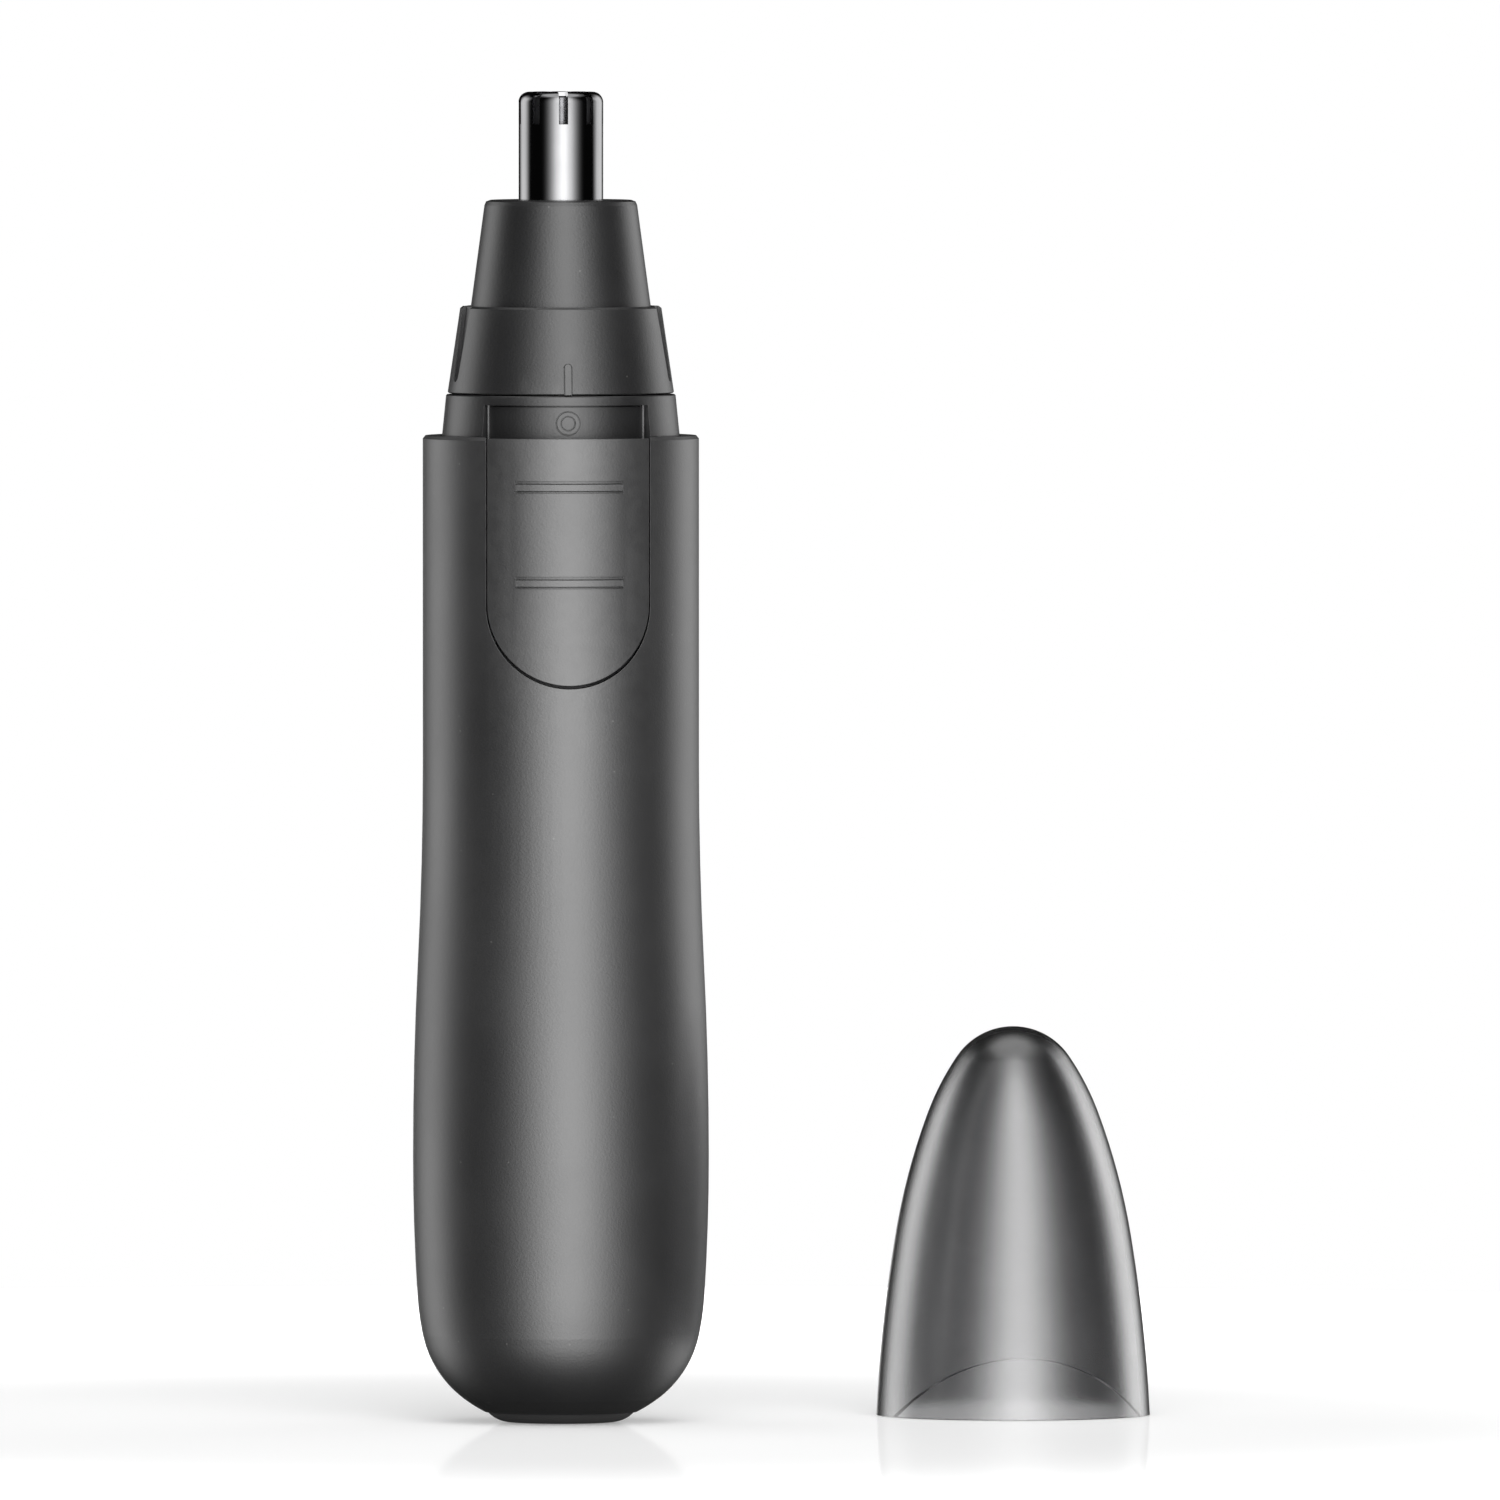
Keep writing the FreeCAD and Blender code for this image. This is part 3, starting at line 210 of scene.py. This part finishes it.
# %% [markdown]
# ### Specks
#
# A few tiny pale motes of dust cling to dark plastic. Voronoi cells give one possible mote in
# each cell, and only the middles of some cells show.

# %% Specks group
EMPTY_SHARE = 0.86


def make_specks():
    tree, start, end = new_group(
        "specks", {"Count": 700.0, "Size": 0.07, "Amount": 0.4}, ["Mask"])
    place = add_node(tree, "ShaderNodeTexCoord")
    cells = add_node(tree, "ShaderNodeTexVoronoi", feature="F1")
    tree.links.new(place.outputs["Object"], cells.inputs["Vector"])
    tree.links.new(start.outputs["Count"], cells.inputs["Scale"])
    dot = combine(tree, "LESS_THAN", cells.outputs["Distance"], start.outputs["Size"])
    pick = add_node(tree, "ShaderNodeSeparateColor")
    tree.links.new(cells.outputs["Color"], pick.inputs["Color"])
    few = combine(tree, "GREATER_THAN", pick.outputs[0], EMPTY_SHARE)
    shown = combine(tree, "MULTIPLY", dot, few)
    mask = combine(tree, "MULTIPLY", shown, start.outputs["Amount"])
    tree.links.new(mask, end.inputs["Mask"])
    return tree


SPECKS = make_specks()
print(SPECKS.name, [s.name for s in SPECKS.interface.items_tree])

# %% [markdown]
# ### One recipe for every finish
#
# A finish is a pair of near colours that the handling patches mix, a roughness, and then what
# the material needs: grain, rubbed corners, dust, and a soft edge. The soft edge rounds the
# shading of a corner by a few hundredths of a millimetre, as moulded corners are never knife
# sharp, and the corner then catches light. Rounding the solid itself would move its faces.

# %% Put a finish together
DUST = (0.5, 0.49, 0.47)
CORNER_SAMPLES = 4
MM = 0.001


def place_group(tree, group, **values):
    """Place one of the shared effects in a material with its own values."""
    made = add_node(tree, "ShaderNodeGroup", node_tree=group)
    for label, value in values.items():
        made.inputs[label.replace("_", " ")].default_value = value
    return made


def blend_colour(tree, mask, first, second):
    """Mix two colours by a mask; the first is a socket or a colour, the second a colour."""
    made = add_node(tree, "ShaderNodeMix", data_type="RGBA")
    tree.links.new(mask, made.inputs["Factor"])
    start, end = [s for s in made.inputs if s.type == "RGBA"]
    put(tree, start, first if hasattr(first, "is_output") else (*first, 1.0))
    end.default_value = (*second, 1.0)
    return [s for s in made.outputs if s.type == "RGBA"][0]


def add_grain(tree, surface, size, depth, soft_edge):
    """Fine bumps on the surface, over corners softened by soft_edge; depths in millimetres."""
    texture = place_group(tree, GRAIN, Size=size)
    bump = add_node(tree, "ShaderNodeBump")
    bump.inputs["Strength"].default_value = 1.0
    bump.inputs["Distance"].default_value = depth * MM
    tree.links.new(texture.outputs["Height"], bump.inputs["Height"])
    if soft_edge:
        corner = add_node(tree, "ShaderNodeBevel", samples=CORNER_SAMPLES)
        corner.inputs["Radius"].default_value = soft_edge * MM
        tree.links.new(corner.outputs["Normal"], bump.inputs["Normal"])
    tree.links.new(bump.outputs["Normal"], surface.inputs["Normal"])


def finish(name, colour, other, roughness, grain, spread=0.08, patch=60.0,
           rub=None, specks=None, soft_edge=None, **fixed):
    """A finish whose colour, roughness and grain vary over the surface."""
    material = bpy.data.materials.new(name)
    material.use_nodes = True
    tree = material.node_tree
    surface = tree.nodes["Principled BSDF"]
    handling = place_group(tree, HANDLING, Roughness=roughness, Spread=spread, Patch=patch)
    shade = blend_colour(tree, handling.outputs["Mask"], colour, other)
    if rub:
        rub_colour, amount = rub
        worn = place_group(tree, EDGE_RUB, Amount=amount)
        shade = blend_colour(tree, worn.outputs["Mask"], shade, rub_colour)
    if specks:
        motes = place_group(tree, SPECKS, Amount=specks)
        shade = blend_colour(tree, motes.outputs["Mask"], shade, DUST)
    tree.links.new(shade, surface.inputs["Base Color"])
    tree.links.new(handling.outputs["Roughness"], surface.inputs["Roughness"])
    add_grain(tree, surface, *grain, soft_edge)
    for label, value in fixed.items():
        surface.inputs[label.replace("_", " ")].default_value = value
    return material


print("finish recipe ready")

# %% [markdown]
# ## Charcoal plastic
#
# The handle, tongue, collar, ring and cone are moulded in one charcoal plastic with a satin
# texture. The dark colour hides the body of the plastic, so nearly all its light is a broad
# reflection, and the strength of that reflection sets how grey it looks. The small conical parts
# of the head get a copy of the same plastic whose colour and reflection are a little darker, which
# is painted shade, and whose lower roughness makes them crisper.
# The foot is a separate, duller plug that grips the table.

# %% Make the plastics and rubbers
PLASTIC_TOUCH = {
    "spread": 0.04, "patch": 45.0, "grain": (4600.0, 0.018), "rub": ((0.05, 0.05, 0.05), 0.35),
    "specks": 0.12, "soft_edge": 0.05, "Specular_IOR_Level": 1.0,
}
CHARCOAL = finish("charcoal plastic", (0.014, 0.014, 0.0145), (0.017, 0.017, 0.0175), 0.42,
                  IOR=1.65, **PLASTIC_TOUCH)
# The head's copy of the charcoal: a darker colour and a weaker reflection that are painted shade,
# and a lower roughness.
CHARCOAL_HEAD_SHADED = finish("charcoal plastic with painted head shade", (0.012, 0.012, 0.0125), (0.014, 0.014, 0.0145),
                       0.37, IOR=1.47, **PLASTIC_TOUCH)
FOOT_RUBBER = finish("foot rubber", (0.03, 0.03, 0.031), (0.036, 0.036, 0.036), 0.62,
                     grain=(3500.0, 0.02), specks=0.2)
SEAL = finish("seal rubber", (0.02, 0.02, 0.02), (0.028, 0.028, 0.028), 0.6,
              grain=(3000.0, 0.015))
print(CHARCOAL.name, CHARCOAL_HEAD_SHADED.name, FOOT_RUBBER.name, SEAL.name)

# %% [markdown]
# ## Cutter steel
#
# The fixed cutter is a drawn tube of steel, polished all round, so it mirrors the room in narrow
# bands. The blades inside are ground flat and left duller. Both are metals, whose colour lives
# in their reflection. Their grain is far finer than the plastic's.

# %% Make the cutter's finishes
POLISHED = finish("polished cutter steel", (0.28, 0.28, 0.285), (0.26, 0.26, 0.265), 0.09,
                  spread=0.03, patch=150.0, grain=(9000.0, 0.0012), Metallic=1.0)
BLADE = finish("ground blade steel", (0.2, 0.2, 0.21), (0.15, 0.15, 0.155), 0.3,
               spread=0.1, patch=300.0, grain=(9000.0, 0.01), Metallic=1.0)
print(POLISHED.name, BLADE.name)

# %% [markdown]
# ## Inside the handle
#
# The frame is plain dark plastic straight from the mould. The cell has a printed sleeve, here
# one even blue. Contact strips are brass with a thin plating, springs and screws are plated
# steel, and bearings are oiled bronze. These parts show when the handle is drawn off.

# %% Make the inner finishes
INNER = finish("inner frame plastic", (0.05, 0.05, 0.053), (0.06, 0.06, 0.063), 0.5,
               spread=0.1, grain=(2500.0, 0.02), specks=0.1)
WHITE = finish("natural nylon", (0.78, 0.77, 0.72), (0.72, 0.71, 0.66), 0.42,
               spread=0.1, grain=(3000.0, 0.015))
WRAP = finish("cell sleeve", (0.03, 0.12, 0.2), (0.035, 0.135, 0.22), 0.28,
              spread=0.08, grain=(2000.0, 0.004))
CONTACT = finish("plated contact strip", (0.72, 0.6, 0.33), (0.69, 0.57, 0.31), 0.3,
                 spread=0.06, patch=90.0, grain=(6000.0, 0.004), Metallic=1.0)
STEEL = finish("plated steel", (0.56, 0.56, 0.57), (0.5, 0.5, 0.51), 0.32,
               spread=0.12, patch=140.0, grain=(5000.0, 0.006), Metallic=1.0)
BRONZE = finish("oiled bronze", (0.42, 0.24, 0.1), (0.34, 0.19, 0.08), 0.38,
                spread=0.15, patch=250.0, grain=(5000.0, 0.01), Metallic=1.0)
print(INNER.name, WHITE.name, WRAP.name, CONTACT.name, STEEL.name, BRONZE.name)

# %% [markdown]
# ## Inside the motor
#
# Magnets are pressed from dull grey powder. The core is a stack of thin iron sheets, and the
# coils are copper wire under a clear lacquer, which keeps its warm shine.

# %% Make the motor's finishes
MAGNET = finish("sintered magnet", (0.05, 0.05, 0.052), (0.075, 0.075, 0.075), 0.65,
                grain=(3500.0, 0.03))
IRON = finish("laminated iron", (0.2, 0.2, 0.21), (0.26, 0.25, 0.24), 0.42,
              spread=0.15, grain=(5000.0, 0.02), Metallic=0.9)
COPPER = finish("lacquered copper", (0.6, 0.22, 0.09), (0.5, 0.17, 0.07), 0.28,
                spread=0.12, patch=400.0, grain=(2600.0, 0.03), Metallic=1.0)
print(MAGNET.name, IRON.name, COPPER.name, len(bpy.data.materials), "materials so far")

# %% [markdown]
# ## The see-through cap
#
# The cap is smoked clear plastic about 1.4 mm thick with polished faces. Transmission gives the
# clear body, and the base colour tints what passes through each wall. Where the wall is seen on
# edge, light crosses far more plastic, so the colour deepens there. A volume inside the wall
# would do this by itself, but it takes many more samples for the same picture.

# %% Make the smoked plastic
EDGE_ON = (0.6, 0.88)
DEEP_SMOKE = (0.03, 0.03, 0.03)


def smoked_plastic():
    """Clear smoke-grey plastic whose colour deepens where the wall is seen on edge."""
    material = finish("smoked clear plastic", (0.4, 0.4, 0.405), (0.36, 0.36, 0.365), 0.18,
                      spread=0.03, patch=80.0, grain=(900.0, 0.002), IOR=1.5,
                      Transmission_Weight=1.0, Specular_IOR_Level=1.0, Coat_Weight=1.0,
                      Coat_IOR=1.7, Coat_Roughness=0.28)
    tree = material.node_tree
    colour = tree.nodes["Principled BSDF"].inputs["Base Color"]
    shade = colour.links[0].from_socket
    facing = add_node(tree, "ShaderNodeLayerWeight")
    facing.inputs["Blend"].default_value = 0.5
    deep = remap(tree, facing.outputs["Facing"], EDGE_ON, (0.0, 1.0))
    tree.links.new(blend_colour(tree, deep, shade, DEEP_SMOKE), colour)
    return material


SMOKE = smoked_plastic()
print(SMOKE.name)

# %% [markdown]
# ## Give each part its finish
#
# The imported record names a material slot for every part. One table turns slots into finishes, so
# no part is left grey. The three conical parts above the handle share a slot with it and get the
# head's darker copy of the charcoal by name, whose darker colour is painted shade.

# %% Dress the parts
SLOT_FINISH = {
    "charcoal_plastic": CHARCOAL, "foot_rubber": FOOT_RUBBER, "inner_plastic": INNER,
    "contact_metal": CONTACT, "steel": STEEL, "seal_rubber": SEAL, "cell_sleeve": WRAP,
    "white_plastic": WHITE, "bronze": BRONZE, "magnet": MAGNET, "core_iron": IRON,
    "winding_copper": COPPER, "polished_steel": POLISHED, "blade_steel": BLADE,
    "smoke_plastic": SMOKE,
}
NODE_FINISH = {name: CHARCOAL_HEAD_SHADED for name in ("neck_collar", "lock_ring", "head_cone")}
slot_of = {entry["node"]: entry["material_slot"] for entry in frame["record"]["subparts"]}
for name, part in nodes.items():
    part.data.materials.clear()
    part.data.materials.append(NODE_FINISH.get(name, SLOT_FINISH[slot_of[name]]))
    shade_by_angle(part)
print({name: part.data.materials[0].name for name, part in nodes.items()})

# %% [markdown]
# ## Table
#
# A smooth pale table with a thin polish, which mirrors the foot of the object faintly. It glows
# a little, and more with distance, so that it runs into the white room without a horizon. Only
# the view sees it: to the object's own reflections the table is clear, and the soft lights reach
# the rounded foot from below as they would from a bright table top.

# %% Table
TABLE_RADIUS = 0.3
TABLE_SIDES = 128
TABLE_POLISH = 0.17
TABLE_SHEEN = 0.06
TABLE_WHITE = (0.9, 0.9, 0.9, 1.0)
TABLE_GLOW = 0.27
TABLE_FADE = (0.07, 0.22)
TABLE_DROP = 0.00005
FILM_DROP = 0.00002


def mix_shaders(tree, share, first, second):
    """Mix two shaders; the share of the second is a socket or a number."""
    made = add_node(tree, "ShaderNodeMixShader")
    put(tree, made.inputs["Fac"], share)
    tree.links.new(first.outputs[0], made.inputs[1])
    tree.links.new(second.outputs[0], made.inputs[2])
    return made


def table_glow(tree):
    """A glow that rises with the distance from the middle of the table."""
    place = add_node(tree, "ShaderNodeTexCoord")
    out_far = add_node(tree, "ShaderNodeVectorMath", operation="LENGTH")
    tree.links.new(place.outputs["Object"], out_far.inputs[0])
    glow = add_node(tree, "ShaderNodeEmission")
    rising = remap(tree, out_far.outputs["Value"], TABLE_FADE, (TABLE_GLOW, 1.0))
    tree.links.new(rising, glow.inputs["Strength"])
    return glow


def empty_material(name):
    """A material with only its output node."""
    material = bpy.data.materials.new(name)
    material.use_nodes = True
    material.node_tree.nodes.clear()
    return material, material.node_tree, add_node(material.node_tree, "ShaderNodeOutputMaterial")


def table_material():
    """White with a thin polish, lit a little from within, and clear to the object's own rays."""
    material, tree, out = empty_material("pale table")
    matte = add_node(tree, "ShaderNodeBsdfDiffuse")
    matte.inputs["Color"].default_value = TABLE_WHITE
    polish = add_node(tree, "ShaderNodeBsdfGlossy")
    polish.inputs["Roughness"].default_value = TABLE_SHEEN
    lit = add_node(tree, "ShaderNodeAddShader")
    tree.links.new(mix_shaders(tree, TABLE_POLISH, matte, polish).outputs[0], lit.inputs[0])
    tree.links.new(table_glow(tree).outputs[0], lit.inputs[1])
    ray = add_node(tree, "ShaderNodeLightPath")
    clear = add_node(tree, "ShaderNodeBsdfTransparent")
    seen = mix_shaders(tree, ray.outputs["Is Camera Ray"], clear, lit)
    tree.links.new(seen.outputs[0], out.inputs["Surface"])
    return material


def lay_disc(name, drop, material):
    """A flat disc the given distance under the object; it is staging and not part of the object."""
    bpy.ops.mesh.primitive_circle_add(vertices=TABLE_SIDES, radius=TABLE_RADIUS, fill_type="NGON",
                                      location=(0.0, 0.0, cad_low.z - drop))
    disc = bpy.context.object
    disc.name = name
    disc.data.materials.append(material)
    return disc


TABLE = lay_disc("table", TABLE_DROP, table_material())
print("table at", round(TABLE.location.z, 5))

# %% [markdown]
# A clear film lies just above the table and can't be seen. Light that comes off the table has
# passed through it, and the sky below asks for that: the mirror image in the table must have the
# white room behind it, while the flat end of the steel tube, which looks the same way, must not.


# %% Film over the table
def clear_material():
    material, tree, out = empty_material("clear film")
    through = add_node(tree, "ShaderNodeBsdfTransparent")
    tree.links.new(through.outputs[0], out.inputs["Surface"])
    return material


FILM = lay_disc("table film", FILM_DROP, clear_material())
print("film at", round(FILM.location.z, 5))

# %% [markdown]
# ## Soft studio light
#
# The light is painted on the sky by direction: a tall soft light in front, a strip light on each
# side a little behind, and a light overhead. The dark gaps between them draw the long bands on
# the round surfaces. Area lights could do the same, but the sky has no distance, so its bands
# stay straight along the whole length of the handle.
#
# A few directions are white for one kind of ray only. The view and the mirror image in the table
# see a white room. Straight behind and below is white too, which the rounded foot and the clear
# cap show. Light that has passed through the cap and goes down finds the pale table there.

# %% Sky with its soft lights
KEY = {"centre": 3.0, "inner": 0.0, "outer": 66.0, "strength": 3.8, "falloff": 2.1}
SIDE_LEFT = {"centre": -125.0, "inner": 4.0, "outer": 30.0, "strength": 1.75, "falloff": 1.0}
SIDE_RIGHT = {"centre": 125.0, "inner": 8.0, "outer": 31.0, "strength": 1.7, "falloff": 1.0}
ABOVE_STRENGTH = 0.8
AMBIENT = 0.005
FLOOR_GLOW = 0.85
KEY_TOP = (0.75, 1.0)
KEY_FOOT = (-0.8, -0.45)
SIDE_ENDS = (0.3, 0.65)
ABOVE_EDGE = (0.75, 0.97)
FLOOR_EDGE = (-0.75, -0.3)
STRAIGHT_BEHIND = 0.985


def lamp(tree, angle, centre, inner, outer, strength, falloff):
    """A tall soft light: full strength inside the inner half angle, nothing past the outer.

    Angles are in degrees round the object, and 0 is straight in front.
    """
    away = combine(tree, "ABSOLUTE", combine(tree, "SUBTRACT", angle, math.radians(centre)))
    fade = remap(tree, away, (math.radians(inner), math.radians(outer)), (1.0, 0.0))
    return combine(tree, "MULTIPLY", combine(tree, "POWER", fade, falloff), strength)


def studio_lamps(tree, way):
    """The light that the lamps send from each direction."""
    forward = combine(tree, "MULTIPLY", way.outputs["Y"], -1.0)
    angle = combine(tree, "ARCTAN2", way.outputs["X"], forward)
    height = way.outputs["Z"]
    key, left, right = [lamp(tree, angle, **place) for place in (KEY, SIDE_LEFT, SIDE_RIGHT)]
    tall = combine(tree, "MULTIPLY", remap(tree, height, KEY_TOP, (1.0, 0.0)),
                   remap(tree, height, KEY_FOOT, (0.0, 1.0)))
    level = remap(tree, combine(tree, "ABSOLUTE", height), SIDE_ENDS, (1.0, 0.0))
    front = combine(tree, "MULTIPLY", key, tall)
    sides = combine(tree, "MULTIPLY", combine(tree, "ADD", left, right), level)
    above = remap(tree, height, ABOVE_EDGE, (0.0, ABOVE_STRENGTH))
    total = combine(tree, "ADD", combine(tree, "ADD", front, sides), above)
    return combine(tree, "ADD", total, AMBIENT)


def white_room(tree, way, ray):
    """White in the directions where this kind of ray would meet the room or the table."""
    straight = combine(tree, "GREATER_THAN", way.outputs["Y"], STRAIGHT_BEHIND)
    below = combine(tree, "LESS_THAN", way.outputs["Z"], 0.0)
    off_table = combine(tree, "GREATER_THAN", ray.outputs["Transparent Depth"], 0.5)
    backdrop = combine(tree, "MULTIPLY", straight, combine(tree, "MAXIMUM", below, off_table))
    floor = remap(tree, way.outputs["Z"], FLOOR_EDGE, (FLOOR_GLOW, 0.0))
    through = combine(tree, "MULTIPLY", floor, ray.outputs["Is Transmission Ray"])
    unseen = combine(tree, "MAXIMUM", backdrop, through)
    return combine(tree, "MAXIMUM", unseen, ray.outputs["Is Camera Ray"])


def make_sky():
    world = bpy.data.worlds.new("studio")
    bpy.context.scene.world = world
    world.use_nodes = True
    tree = world.node_tree
    tree.nodes.clear()
    place = add_node(tree, "ShaderNodeTexCoord")
    way = add_node(tree, "ShaderNodeSeparateXYZ")
    tree.links.new(place.outputs["Generated"], way.inputs["Vector"])
    ray = add_node(tree, "ShaderNodeLightPath")
    total = combine(tree, "MAXIMUM", studio_lamps(tree, way), white_room(tree, way, ray))
    light = add_node(tree, "ShaderNodeBackground")
    light.inputs["Color"].default_value = (1.0, 1.0, 1.0, 1.0)
    tree.links.new(total, light.inputs["Strength"])
    out = add_node(tree, "ShaderNodeOutputWorld")
    tree.links.new(light.outputs[0], out.inputs["Surface"])
    return world


SKY = make_sky()
print(SKY.name, len(SKY.node_tree.nodes), "nodes")

# %% [markdown]
# One wide lamp hangs over the table. It lights the table evenly and leaves the pale shadow under
# the foot and the cap that sets them down.

# %% Overhead light
OVERHEAD_WIDTH = 1.0
OVERHEAD_WATTS = 1.0
OVERHEAD_HEIGHT = 1.1


def make_overhead():
    lamp_data = bpy.data.lights.new("overhead", "AREA")
    lamp_data.shape = "DISK"
    lamp_data.size = OVERHEAD_WIDTH
    lamp_data.energy = OVERHEAD_WATTS
    overhead = bpy.data.objects.new("overhead", lamp_data)
    overhead.location = (0.0, 0.0, OVERHEAD_HEIGHT)
    bpy.context.scene.collection.objects.link(overhead)
    return overhead


OVERHEAD = make_overhead()
print(OVERHEAD.name, OVERHEAD.data.energy, "W")

# %% [markdown]
# ## Camera
#
# A very long lens from almost level keeps the upright lines parallel, the way small products are
# usually shown. The camera looks from a few degrees to the left of the front.

# %% Camera
CAMERA_TURN = math.radians(-4.0)
CAMERA_RISE = math.radians(1.7)
LENS_MM = 1000.0
VIEW_WIDTH = 0.1415
VIEW_CENTRE_RIGHT = 0.01784
VIEW_CENTRE_UP = 0.0634
FAR_LIMIT = 100.0


def make_camera():
    data = bpy.data.cameras.new("camera")
    data.lens = LENS_MM
    data.clip_end = FAR_LIMIT
    distance = VIEW_WIDTH * data.lens / data.sensor_width
    back = Vector((math.sin(CAMERA_TURN) * math.cos(CAMERA_RISE),
                   -math.cos(CAMERA_TURN) * math.cos(CAMERA_RISE), math.sin(CAMERA_RISE)))
    right = Vector((math.cos(CAMERA_TURN), math.sin(CAMERA_TURN), 0.0))
    centre = right * VIEW_CENTRE_RIGHT + Vector((0.0, 0.0, VIEW_CENTRE_UP))
    camera = bpy.data.objects.new("camera", data)
    camera.location = centre + back * distance
    camera.rotation_euler = (-back).to_track_quat("-Z", "Y").to_euler()
    bpy.context.scene.collection.objects.link(camera)
    bpy.context.scene.camera = camera
    return camera


CAMERA = make_camera()
bpy.context.scene.view_settings.view_transform = "Standard"
print("camera", tuple(round(v, 3) for v in CAMERA.location))
